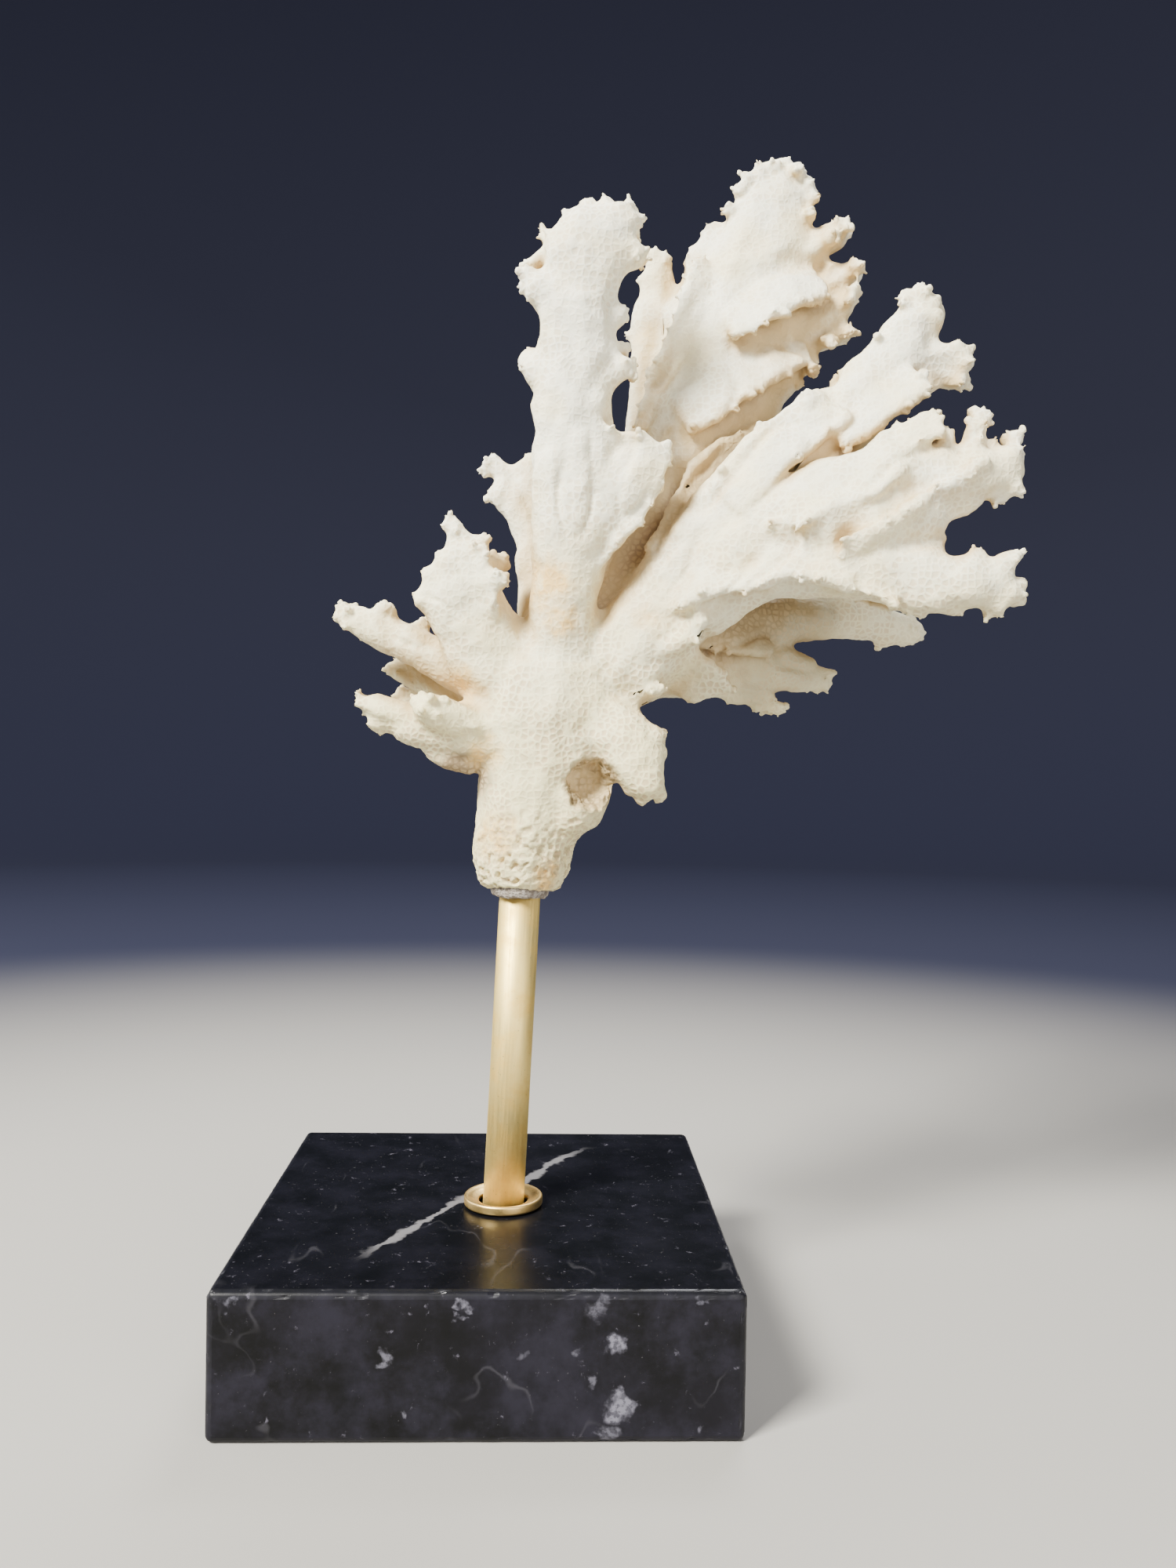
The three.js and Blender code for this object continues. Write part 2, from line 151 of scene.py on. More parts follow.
def geometry_tree(name, **numbers):
    """An empty Geometry Nodes tree with named number inputs. Returns it and its input node."""
    tree = bpy.data.node_groups.new(name, "GeometryNodeTree")
    shape = "NodeSocketGeometry"
    tree.interface.new_socket("Geometry", in_out="INPUT", socket_type=shape)
    for label, value in numbers.items():
        kind = SOCKET_KINDS[type(value)]
        socket = tree.interface.new_socket(label, in_out="INPUT", socket_type=kind)
        socket.default_value = value
    tree.interface.new_socket("Geometry", in_out="OUTPUT", socket_type=shape)
    return tree, node(tree, "NodeGroupInput").outputs


def place_and_normal(tree):
    """Where each point is, and the way that the surface faces there."""
    position = node(tree, "GeometryNodeInputPosition").outputs[0]
    return position, node(tree, "GeometryNodeInputNormal").outputs[0]


def shifted(tree, geometry, offset):
    """A Set Position node, which moves each point by its own offset."""
    return node(tree, "GeometryNodeSetPosition", {"Geometry": geometry, "Offset": offset}).outputs[0]


def joined(tree, *parts):
    """Several geometries as one."""
    join = node(tree, "GeometryNodeJoinGeometry")
    for part in parts:
        tree.links.new(part, join.inputs[0])
    return join.outputs[0]


def close_tree(tree, geometry, material):
    """Ends a tree: instances are made real and the material is set."""
    real = node(tree, "GeometryNodeRealizeInstances", {0: geometry}).outputs[0]
    inputs = {"Geometry": real, "Material": material}
    finished = node(tree, "GeometryNodeSetMaterial", inputs).outputs[0]
    node(tree, "NodeGroupOutput", {0: finished})


def bake_modifiers(piece):
    """Turns a piece and all its modifiers into a plain mesh."""
    graph = bpy.context.evaluated_depsgraph_get()
    shown = piece.evaluated_get(graph)
    mesh = bpy.data.meshes.new_from_object(shown, preserve_all_data_layers=True, depsgraph=graph)
    piece.modifiers.clear()
    piece.data = mesh
    return piece


def run_tree(piece, tree, **values):
    """Runs a tree on a piece with these input values, and keeps the result as its mesh."""
    modifier = piece.modifiers.new(tree.name, "NODES")
    modifier.node_group = tree
    for item in tree.interface.items_tree:
        if item.in_out == "INPUT" and item.name in values:
            modifier[item.identifier] = values[item.name]
    return bake_modifiers(piece)


def mesh_from(shape, name):
    """A mesh made from a bmesh, which is then let go."""
    mesh = bpy.data.meshes.new(name)
    shape.to_mesh(mesh)
    shape.free()
    return mesh


def new_piece(name, mesh):
    """An object in the scene that holds this mesh."""
    piece = bpy.data.objects.new(name, mesh)
    bpy.context.scene.collection.objects.link(piece)
    return piece


def finished_piece(piece, stands_for):
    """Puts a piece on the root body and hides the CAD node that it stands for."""
    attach(piece, "root")
    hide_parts(stands_for)
    print(piece.name, len(piece.data.polygons), "faces")


# %% [markdown]
# ## The finish of the coral
#
# Bleached coral is bare limestone: matt, warm white and a little see-through at thin rims. Three
# things colour it. Sheltered places in the crotches hold peach stains and a tan that is partly stain
# and partly painted shade, and the deepest pockets get a painted brown shade; the old foot is
# creamier and dirtier than the young tips, and every small cup that a polyp lived in is a faint
# pit. A material can't feel how sheltered a place is, so Geometry Nodes store that on the mesh as
# an attribute later on, and the material reads it.
#
# The cup pattern is a node group, because the brown glue and the coral both wear it. It puts out a
# mask and a height only. The shader itself stays in the material.
#
# %% A group for the pattern of cups
CUP_SPACING = 1.45  # millimetres from one cup to the next
CUP_RANDOMNESS = 0.72


def cup_pattern_group():
    """A shader group: the pits of the cups, from a position in millimetres."""
    group = bpy.data.node_groups.new("Cup pattern", "ShaderNodeTree")
    group.interface.new_socket("Position", in_out="INPUT", socket_type="NodeSocketVector")
    group.interface.new_socket("Spacing", in_out="INPUT", socket_type="NodeSocketFloat")
    group.interface.new_socket("Pit", in_out="OUTPUT", socket_type="NodeSocketFloat")
    group.interface.new_socket("Grain", in_out="OUTPUT", socket_type="NodeSocketFloat")
    given = node(group, "NodeGroupInput").outputs
    rate = maths(group, "DIVIDE", 1.0, given["Spacing"])
    pit = eased(group, cells(group, given["Position"], rate, CUP_RANDOMNESS), 0.05, 0.24)
    grain = noise(group, given["Position"], times(group, rate, 3.0), 3.0, 0.6)
    node(group, "NodeGroupOutput", {"Pit": pit, "Grain": grain})
    return group


cup_pattern = cup_pattern_group()
print("Group outputs:", [s.name for s in cup_pattern.interface.items_tree if s.in_out == "OUTPUT"])

# %% [markdown]
# Every material here starts the same way: one Principled shader, and a position in millimetres
# read from the object's own coordinates. Its helpers are short, and each does one thing.
#
# %% Helpers for materials


def start_material(name):
    """A material with its Principled shader. Returns it, its tree, the shader and a position."""
    made = bpy.data.materials.new(name)
    made.use_nodes = True
    tree = made.node_tree
    tree.nodes.clear()
    shader = node(tree, "ShaderNodeBsdfPrincipled")
    node(tree, "ShaderNodeOutputMaterial", {"Surface": shader.outputs[0]})
    place = node(tree, "ShaderNodeTexCoord").outputs["Object"]
    return made, tree, shader, scaled(tree, place, 1 / MM)


def set_shader(tree, shader, **values):
    """Sets or links inputs of a shader; a name's underscores stand for spaces."""
    for key, value in values.items():
        socket = shader.inputs[key.replace("_", " ")]
        if isinstance(value, bpy.types.NodeSocket):
            tree.links.new(value, socket)
        else:
            socket.default_value = value


def stored(tree, name):
    """A number that was stored on the mesh."""
    return node(tree, "ShaderNodeAttribute", attribute_name=name).outputs["Fac"]


def bumped(tree, height, distance, strength=1.0):
    """A Bump node's normal. Distance is in metres."""
    inputs = {"Height": height, "Distance": distance, "Strength": strength}
    return node(tree, "ShaderNodeBump", inputs).outputs[0]


def uneven(tree, place, scale):
    """A noise vector around zero, to push another pattern out of true."""
    inputs = {"Vector": place, "Scale": scale, "Detail": 3.0}
    colour = node(tree, "ShaderNodeTexNoise", inputs).outputs[1]
    return vector_maths(tree, "SUBTRACT", colour, (0.5, 0.5, 0.5))


# %% [markdown]
# Some stains, and some spots of painted shade, have a known place: they are part of what makes
# this coral this one, so they are listed one by one. Each is a spot with a soft edge. Every colour
# is then a layer: a mask, how much of it counts, and the colour itself, laid over the ones before.
#
# %% Spots, layers and cups


def nearness(tree, place, spots, core=0.3):
    """A mask, strongest inside the core of each spot: its place, radius and strength."""
    mask = 0.0
    for centre, radius, strength in spots:
        away = vector_maths(tree, "DISTANCE", place, centre)
        mask = maths(tree, "MAXIMUM", mask, eased(tree, away, radius * core, radius, strength, 0.0))
    return mask


def layered(tree, colour, layers):
    """Lays colours over one another. Each layer is a mask, its share and its colour."""
    for mask, share, tint in layers:
        colour = blend(tree, times(tree, mask, share), colour, tint)
    return colour


def cups_at(tree, place, spacing):
    """The pit and the grain of the cup pattern at this spacing."""
    cups = node(tree, "ShaderNodeGroup", node_tree=cup_pattern)
    tree.links.new(place, cups.inputs["Position"])
    cups.inputs["Spacing"].default_value = spacing
    return cups.outputs["Pit"], cups.outputs["Grain"]


# %% [markdown]
# These are the colours of bleached coral, from clean to dirty, and the places of its stains and of
# its painted shade. White comes first, then cream near the foot, and tan where the stored shelter is
# high, which is partly stain and partly painted shade. The listed spots of painted taupe shade and
# of peach stain follow, with dirt on the broken foot. Last come painted brown shade in the pockets
# and in the hollow stub, darker tan in the pits of the cups and pinholes painted nearly black as
# shade. Soft noise breaks up each edge, so no layer ends in a line.
#
# %% The coral material
CHALK = (0.95, 0.915, 0.73)
IVORY = (0.93, 0.85, 0.58)
CREAM = (0.87, 0.79, 0.42)
# Tan: partly a real stain and partly painted shade in the sheltered crotches.
TAN_STAIN_AND_SHADE = (0.62, 0.46, 0.23)
# Painted shade for the pockets and the underside of the lower fan.
PAINTED_TAUPE_SHADE = (0.27, 0.195, 0.105)
PEACH = (0.84, 0.56, 0.2)
FOOT_DIRT = (0.4, 0.3, 0.16)
# Painted shade: dark brown in the deepest pockets.
PAINTED_POCKET_SHADE = (0.34, 0.24, 0.15)
# Painted shade inside the hollow stub.
PAINTED_HOLLOW_SHADE = (0.13, 0.085, 0.035)
# Darker tan in the pits of the cups.
CUP_PIT_TAN = (0.66, 0.51, 0.29)
# Pinholes painted nearly black, as the shade inside them.
PAINTED_PINHOLE_SHADE = (0.1, 0.08, 0.06)
# The place in millimetres, the radius and the strength of each peach stain.
PEACH_SPOTS = [
    ((12.0, -11.0, 101.5), 5.0, 1.0),
    ((0.0, -11.0, 110.0), 8.0, 0.6),
    ((-1.5, -9.0, 129.0), 6.5, 0.9),
    ((11.0, -13.0, 164.0), 8.0, 0.75),
    ((13.5, -13.0, 156.0), 5.5, 0.7),
    ((-6.0, -8.0, 143.5), 6.0, 0.7),
    ((33.0, -8.0, 157.0), 7.0, 0.5),
    ((31.0, -12.0, 231.0), 5.0, 0.5),
    ((83.0, -12.0, 186.0), 6.0, 0.6),
    ((30.0, 10.0, 226.0), 10.0, 0.4),
]
# The same for the broad spots of painted taupe shade, which lie in the pockets and under the lower fan.
PAINTED_SHADE_SPOTS = [
    ((58.0, 7.0, 159.0), 18.0, 0.53),
    ((70.0, 9.0, 154.0), 18.0, 0.43),
    ((58.0, 10.0, 148.0), 13.0, 0.43),
    ((60.0, 2.0, 141.5), 11.0, 0.53),
    ((39.0, 2.0, 174.0), 17.0, 0.59),
    ((46.0, 7.0, 196.0), 8.0, 0.31),
    ((33.0, 14.0, 214.0), 12.0, 0.31),
    ((32.0, 14.0, 228.0), 9.0, 0.22),
    ((62.0, 8.0, 214.0), 9.0, 0.25),
    ((78.0, -13.0, 186.0), 8.0, 0.37),
    ((-7.0, -9.0, 123.0), 9.0, 1.3),
    ((66.0, -14.0, 176.0), 6.0, 0.25),
]
# The broken stub on the front of the trunk is hollow, and its inside is painted dark brown as shade.
HOLLOW_CENTRE = (21.0, -13.0, 121.5)
HOLLOW_RADIUS = 7.6
# The foot is old and broken: all of it below the first height, none of it above the second.
FOOT_LOW = 101.0
FOOT_TOP = 122.0


def coral_material():
    """Matt warm white with cream and peach stains, tan that is partly painted shade, and painted brown
    shade.
    """
    made, tree, shader, place = start_material("Bleached coral")
    height = node(tree, "ShaderNodeSeparateXYZ", {0: place}).outputs["Z"]
    shelter = stored(tree, "shelter")
    pit, grain = cups_at(tree, place, CUP_SPACING)
    broad = noise(tree, place, 0.07, 3.0)
    blotch = noise(tree, place, 0.32, 4.0, 0.6)
    wander = times(tree, maths(tree, "SUBTRACT", blotch, 0.5), 0.35)
    warped = vector_maths(tree, "ADD", place, scaled(tree, uneven(tree, place, 0.3), 5.0))
    age = eased(tree, height, 105.0, 205.0, 1.0, 0.0)
    foot = eased(tree, height, FOOT_LOW, FOOT_TOP, 1.0, 0.0)
    # Tan follows the shelter with a loose edge, partly as stain and partly as painted shade,
    # and a painted brown shade follows it more closely.
    loose = eased(tree, maths(tree, "ADD", shelter, wander), 0.03, 0.4)
    # Painted brown shade where the shelter is deepest.
    deep = eased(tree, maths(tree, "ADD", shelter, times(tree, wander, 0.5)), 0.5, 0.85)
    # Painted shade: taupe spots in the pockets and under the lower fan.
    painted_taupe_shade = nearness(tree, place, PAINTED_SHADE_SPOTS)
    patchy = eased(tree, blotch, 0.36, 0.62, 0.6, 1.5)
    peach = times(tree, nearness(tree, warped, PEACH_SPOTS), patchy)
    # The foot is broken off, and its open pits are full of old dirt.
    broken = times(tree, eased(tree, noise(tree, place, 0.62, 1.0), 0.5, 0.64), foot)
    from_hollow = vector_maths(tree, "DISTANCE", warped, HOLLOW_CENTRE)
    # Painted shade, darkest in the middle of the hollow stub.
    hollow_shade = eased(tree, from_hollow, 3.5, HOLLOW_RADIUS, 1.0, 0.0)
    # The pits of the cups are darker tan, most of all on the old foot, and a few pinholes are painted
    # nearly black, as the shade inside them.
    shown = eased(tree, noise(tree, place, 0.09, 2.0), 0.36, 0.62, 0.3, 1.0)
    darker_pits = times(tree, pit, times(tree, shown, eased(tree, height, 110.0, 200.0, 0.85, 0.4)))
    # Painted shade: nearly black pinholes.
    pinhole_shade = times(tree, eased(tree, noise(tree, place, 1.3, 1.0), 0.79, 0.83), age)
    colour = blend(tree, eased(tree, broad, 0.42, 0.66), CHALK, IVORY)
    layers = [
        (age, 0.9, CREAM),
        (loose, 0.92, TAN_STAIN_AND_SHADE),
        (painted_taupe_shade, 1.0, PAINTED_TAUPE_SHADE),
        (peach, 1.0, PEACH),
        (broken, 0.85, FOOT_DIRT),
        (deep, 0.8, PAINTED_POCKET_SHADE),
        (hollow_shade, 0.9, PAINTED_HOLLOW_SHADE),
        (darker_pits, 1.0, CUP_PIT_TAN),
        (pinhole_shade, 0.8, PAINTED_PINHOLE_SHADE),
    ]
    colour = layered(tree, colour, layers)
    rough = eased(tree, grain, 0.3, 0.7, 0.62, 0.8)
    normal = bumped(tree, maths(tree, "SUBTRACT", grain, pit), 0.05 * MM)
    set_shader(tree, shader, Base_Color=colour, Roughness=rough, Normal=normal)
    set_shader(tree, shader, Subsurface_Weight=0.12, Subsurface_Scale=1.0, Specular_IOR_Level=0.35)
    set_shader(tree, shader, Subsurface_Radius=(1.6 * MM, 1.2 * MM, 0.9 * MM))
    return made


coral = coral_material()
print("Nodes in the coral material:", len(coral.node_tree.nodes))

# %% [markdown]
# ## One soft skin over the forks
#
# The CAD has the coral as eleven faceted forks with a hair of space between them. The real coral
# is one grown skeleton, with no line where a branch leaves the trunk. So the forks are copied,
# their loose triangles merged, and each one swollen just enough to touch its neighbours. A voxel
# remesh then wraps the lot in a single skin, as shrink-wrap would, and a Smooth modifier melts the
# facets. Subdividing the facets would keep the seams, and sculpting can't be repeated by a script.
#
# %% Wrap and soften
SWELL = 0.42 * MM  # more than half the space between two forks, and what smoothing takes away
WRAP_SIZE = 0.8 * MM
MERGE = 0.001 * MM

shape = bmesh.new()
for name in forks:
    shape.from_mesh(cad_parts[name].data)
bmesh.ops.remove_doubles(shape, verts=shape.verts, dist=MERGE)
shape.normal_update()
swollen = [vertex.co + vertex.normal * SWELL for vertex in shape.verts]
for vertex, place in zip(shape.verts, swollen):
    vertex.co = place
skin = new_piece("coral_skin", mesh_from(shape, "coral_skin"))


def remesh_and_soften(piece, voxel, rounds):
    """Wraps a piece in a skin of even quads, and smooths it."""
    remesh = piece.modifiers.new("wrap", "REMESH")
    remesh.mode = "VOXEL"
    remesh.voxel_size = voxel
    remesh.use_smooth_shade = True
    soften = piece.modifiers.new("soften", "SMOOTH")
    soften.factor = 0.5
    soften.iterations = rounds
    bake_modifiers(piece)
    print(piece.name, len(piece.data.polygons), "quads at", round(voxel / MM, 2), "mm")


remesh_and_soften(skin, WRAP_SIZE, 7)

# %% [markdown]
# ## Fingers, ledges and knobs
#
# The blades of this coral end in short blunt fingers, and every rim is set with knobs like a
# cockscomb. The biggest of them are in the CAD. The small fingers are placed here one by one,
# because their places are part of what makes this coral this one. Each is a cone with a round end,
# and grows from the nearest place on the skin.
#
# %% The small fingers
# Each is the tip's x, y and z and the radius, in millimetres.
SMALL_FINGERS = {
    "front lobe": [(5, -17, 230, 1.7), (12, -17, 239, 2), (28.5, -13, 208.5, 1.6), (27, -12, 174, 1.6)],
    "upper left": [(-13, -11, 170.5, 1.7), (-16, 2, 158, 1.8), (-12, -1, 166, 1.7)],
    "right arm": [(73.5, -6, 213, 1.7), (86.5, -6, 230.5, 2), (88, 5, 222, 2)],
    "centre lobe": [(60, 14, 267.5, 2), (74, 13, 244.5, 2), (69, 11, 214.5, 1.9)],
    "rear blade": [(-5.3, 13, 192.5, 1.5)],
    "right fan": [(93.5, -19, 198, 1.7), (105.5, -19, 181.5, 1.7), (110, -21, 165.5, 1.8)],
    "lower fan": [(48, 4, 141, 1.6), (67.5, 12, 139.5, 1.6), (72, 15, 143.5, 1.7)],
    "side stub": [(36.5, -9, 141.5, 1.5), (33, -13, 118, 1.5)],
    "crown of the front lobe": [
        (8.5, -9, 240, 1.7), (12.5, -9, 242, 1.6), (17.5, -9, 245.5, 2), (22.5, -9, 246.5, 2.1),
        (27.5, -9, 246.5, 1.9), (29.5, -9, 243.5, 1.6), (29, -9, 237.5, 1.5), (31, -9, 233.5, 1.5),
        (26.5, -9, 222.5, 1.3), (27, -9, 215, 1.6), (28.5, -9, 212, 1.7),
    ],
    "left edge of the front lobe": [
        (5.5, -9, 232, 1.8), (6, -9, 227.5, 1.7), (5.5, -9, 213.5, 1.8), (6, -9, 209.5, 1.6),
        (7, -9, 201.5, 1.5),
    ],
    "crown of the centre lobe": [
        (49.5, 10, 255.5, 1.4), (52.5, 10, 260, 1.7), (54, 10, 263, 1.7), (57.5, 10, 265, 2),
        (61.5, 10, 266, 1.8), (67, 10, 265, 2), (70.5, 10, 262, 1.9), (72, 10, 258, 1.8),
        (71.5, 10, 254.5, 1.7),
    ],
    "right edge of the centre lobe": [
        (77.5, 6, 250.5, 2.2), (76, 6, 247, 1.6), (81.5, 6, 240.5, 2), (81, 6, 237.5, 1.8),
        (80, 6, 233, 1.5), (80, 6, 225.5, 1.6), (75.5, 6, 223, 1.4), (72, 6, 217, 1.4),
    ],
    "crown of the arm": [
        (86.5, -9, 228.5, 1.8), (90.5, -9, 230.5, 2), (94.5, -9, 228.5, 1.9), (95.5, -9, 224.5, 1.7),
        (99, -9, 219.5, 1.8), (101.5, -9, 217, 1.9), (102, -9, 213.5, 1.8), (100.5, -9, 210, 1.8),
        (84.5, -9, 221.5, 1.3), (81, -9, 219.5, 1.3), (93, -9, 209.5, 1.5), (87, -9, 205, 1.3),
    ],
    "crown of the fan": [
        (89.5, -19, 199, 1.5), (93, -19, 197, 1.5), (100.5, -19, 199, 1.8), (105, -19, 192, 1.2),
        (108, -19, 194, 1.8), (111, -19, 192, 1.9), (111, -19, 188, 1.7), (110.5, -19, 184, 1.8),
        (106, -19, 182, 1.3), (92.5, -19, 175, 1.3),
    ],
    "tip of the front plate": [
        (101, -20, 172, 1.7), (106, -20, 170.5, 1.3), (109.5, -20, 171, 1.8), (110, -20, 166, 1.8),
        (110, -20, 161.5, 1.8), (105.5, -20, 157.5, 1.6), (101.5, -20, 158, 1.4), (97, -20, 158, 1.4),
        (92, -20, 158.5, 1.3),
    ],
    "right edge of the side stub": [
        (37, -10, 132, 1.4), (37.5, -10, 129, 1.6), (36.5, -10, 125.5, 1.3), (37, -10, 122.5, 1.5),
        (37, -10, 118.5, 1.8), (34.5, -10, 120, 1.4), (31.5, -10, 117, 1.5), (36, -10, 142, 2),
    ],
}
ROOT_DEPTH = 2.5  # how far under the skin a finger starts
ROOT_SWELL = 1.35  # how much wider a finger is at its root


def point_set(mesh):
    """The vertices of a mesh as rows of x, y and z."""
    flat = np.empty(len(mesh.vertices) * 3, np.float32)
    mesh.vertices.foreach_get("co", flat)
    return flat.reshape(-1, 3)


def skin_tree(mesh):
    """A search tree over the faces of a mesh."""
    corners = [tuple(face.vertices) for face in mesh.polygons]
    return BVHTree.FromPolygons([tuple(p) for p in point_set(mesh)], corners)


def add_taper(shape, begin, end, first_radius, last_radius):
    """Adds a cone from one point to another, with a ball at the far end."""
    turn = (end - begin).to_track_quat("Z", "Y").to_matrix().to_4x4()
    middle = Matrix.Translation((begin + end) / 2) @ turn
    sizes = {"radius1": first_radius, "radius2": last_radius, "depth": (end - begin).length}
    bmesh.ops.create_cone(shape, cap_ends=True, segments=12, matrix=middle, **sizes)
    ball = Matrix.Translation(end)
    bmesh.ops.create_icosphere(shape, subdivisions=2, radius=last_radius, matrix=ball)


search = skin_tree(skin.data)
shape = bmesh.new()
shape.from_mesh(skin.data)
for x, y, z, radius in sum(SMALL_FINGERS.values(), []):
    tip = Vector((x, y, z)) * MM
    nearest = search.find_nearest(tip)[0]
    along = (tip - nearest).normalized()
    root = nearest - along * ROOT_DEPTH * MM
    end = tip - along * radius * MM
    add_taper(shape, root, end, radius * MM * ROOT_SWELL, radius * MM)
shape.to_mesh(skin.data)
shape.free()
print("Small fingers:", sum(len(group) for group in SMALL_FINGERS.values()))

# %% [markdown]
# The blades are not smooth on their faces. Where one plate of growth overlaps the next, its rim
# stands up as a ledge with a pocket behind it. Each ledge is given as a line of points along its
# rim, and the way the plate falls back from that rim into the branch. The hull round two rim
# points and the two points they fall to is a wedge: sharp along the rim, and gone in the skin
# behind it. A tube would show as a sausage on both sides.
#
# %% The ledges of the plates
GOLDEN_TURN = math.pi * (3 - math.sqrt(5))


def even_directions(count):
    """Directions spread evenly over a ball, on a spiral from pole to pole."""
    for i in range(count):
        z = 1 - (2 * i + 1) / count
        flat = math.sqrt(1 - z * z)
        yield (flat * math.cos(GOLDEN_TURN * i), flat * math.sin(GOLDEN_TURN * i), z)


# The way each plate falls back, then x, y, z and a radius for each point of its rim, in millimetres.
LEDGES = {
    "plate in the deep gap": ((6, 3, -6), [
        (32.5, -8, 167, 1.2), (33.5, -7.5, 174, 1.4), (38, -3.5, 183, 1.4), (42, -0.5, 192, 1.3),
        (50, 1.5, 199, 1.3), (59, 5, 203, 1.1),
    ]),
    "flap of the front lobe": ((-10, 3, 1), [
        (20.5, -12.5, 167, 1.1), (26, -14, 173.5, 1.3), (30.5, -14, 179, 1.4), (34, -15, 185, 1.4),
        (35.5, -15.5, 190.5, 1.3), (30, -16, 195, 1.3),
    ]),
    "lower ledge of the centre lobe": ((-4, 4, 8), [
        (42.5, 0.5, 201, 1.2), (48.5, 0, 204, 1.5), (53.5, 1, 209, 1.4), (58, 2.5, 212, 1.3),
        (65, 5, 216.5, 1.3), (70, 7, 219.5, 1),
    ]),
    "upper ledge of the centre lobe": ((-2, 5, 8), [
        (52, 2, 222, 1), (58, 1.5, 226, 1.4), (66, 3, 231, 1.4), (73, 6, 233.5, 1.1),
    ]),
    "left rim of the centre lobe": ((8, 3, -2), [
        (31, 7.5, 203, 1.2), (33.5, 8.5, 213, 1.4), (37.5, 6.5, 223, 1.5), (41, 6, 232.5, 1.3),
        (43.5, 8.5, 242, 1.2),
    ]),
    "lower rim of the front plate": ((-1, 6, 9), [
        (38, -12.5, 159.5, 1.4), (43, -15.5, 162, 1.5), (49, -16.5, 163, 1.4), (56, -18, 165, 1.6),
        (62, -20, 166.5, 1.4), (68.5, -22, 165, 1.5), (75, -22.5, 163, 1.3), (82, -23, 160.5, 1.3),
    ]),
    "upper rim of the fan": ((3, 4, -9), [
        (57, -18.5, 176.5, 1.2), (64.5, -21.5, 178, 1.4), (70, -22.5, 180, 1.4), (77.5, -24, 182, 1.3),
        (83, -24, 188, 1.3),
    ]),
    "ledge of the right arm": ((-6, 4, 6), [
        (52, -14.5, 180, 1.4), (59, -15.5, 189, 1.5), (66, -15, 194.5, 1.4), (74, -14, 200.5, 1.2),
    ]),
    "root of the front plate": ((-8, 5, 2), [
        (35, -10, 150.5, 1.8), (42, -11.5, 153.5, 2), (43.5, -12.5, 159, 1.8),
    ]),
    "upper left lobe": ((9, -1, -2), [
        (7, -10.5, 232, 1.2), (6.8, -10.5, 228.5, 1.4), (8.2, -10.5, 223.5, 1.3), (10, -10.5, 219, 1),
    ]),
    "middle left lobe": ((9, -1, -1), [
        (6.5, -10.5, 213, 1.4), (6.8, -10.5, 209, 1.4), (8.4, -10.5, 204, 1.1),
    ]),
    "lower left lobe": ((9, -1, -1), [
        (7.8, -11, 201, 1.2), (8.2, -11, 197, 1.3), (9.2, -11, 192, 1),
    ]),
    "finger ridge of the fan": ((-1, 4, 5), [
        (62, -22.5, 175.5, 1.1), (70, -22.5, 181, 1.3), (75.5, -22.5, 183.5, 1.3),
        (81.5, -22.5, 190.5, 1.3), (88, -22.5, 194, 1.3), (91.5, -22.5, 195.5, 1.1),
    ]),
    "second ridge of the fan": ((1, 4, -7), [
        (71.5, -24, 173, 1.1), (79, -24, 175.5, 1.3), (86.5, -24, 180.5, 1.3), (94, -24, 186, 1.3),
        (100, -24, 189.5, 1.1),
    ]),
    "lower rim of the arm": ((-4, 4, 5), [
        (73.5, -14.5, 195, 1.1), (78.5, -14.5, 197.5, 1.3), (82.5, -14.5, 201, 1.3),
        (86.5, -14.5, 203.5, 1.2), (91.5, -14.5, 207, 1),
    ]),
    "belly of the front lobe": ((0, 4, -8), [
        (8.5, -16, 198, 1), (13.5, -16, 200, 1.2), (19, -16, 199, 1.2), (24.5, -16, 195.5, 1.1),
    ]),
    "plate of the left fork": ((-5, 3, -2), [
        (-3, -14, 171.5, 1.1), (-2, -14, 166, 1.2), (-0.5, -14, 159.5, 1.2), (0, -10.5, 153.5, 0.8),
    ]),
    "finger of the lower left fork": ((2, 4, -4), [
        (-16.5, -14, 138.5, 1.6), (-12.5, -14, 138, 1.6), (-8, -14, 135, 1.4), (-4, -14, 133, 1.1),
    ]),
    "second plate under the arm": ((0, 5, 5), [
        (68, -10, 167.5, 1), (75.5, -10, 164.5, 1.2), (82, -10, 161.5, 1.2), (88.5, -10, 160.5, 1.1),
    ]),
    "burr under the lower left fork": ((3, 4, 5), [
        (-13.5, -8, 127.6, 1.8), (-10, -8.5, 126.2, 2.3), (-5.5, -8, 124.8, 2.1),
    ]),
    "front plate of the lower fan": ((-9, 3, -3), [
        (38.5, -6, 156, 1.4), (43.5, -5, 150.5, 1.5), (48.5, -3.5, 146.5, 1.3), (52, -1, 143.5, 1.1),
    ]),
    "ledge of the lower fan": ((0, 4, 8), [
        (45.5, -1, 152.5, 1), (53, 1, 152, 1.2), (62, 4.5, 151.5, 1),
    ]),
}


HULL_POINTS = 24  # points that stand for one ball


def add_wedge(shape, here, ahead, fall):
    """Adds the hull round two rim points and the two points behind them."""
    hull = bmesh.new()
    for x, y, z, radius in (here, ahead):
        rim = Vector((x, y, z)) * MM
        for centre in (rim, rim + Vector(fall) * MM):
            for direction in even_directions(HULL_POINTS):
                hull.verts.new(centre + Vector(direction) * radius * MM)
    bmesh.ops.convex_hull(hull, input=hull.verts)
    loose = [vertex for vertex in hull.verts if not vertex.link_faces]
    bmesh.ops.delete(hull, geom=loose, context="VERTS")
    part = mesh_from(hull, "wedge")
    shape.from_mesh(part)
    bpy.data.meshes.remove(part)


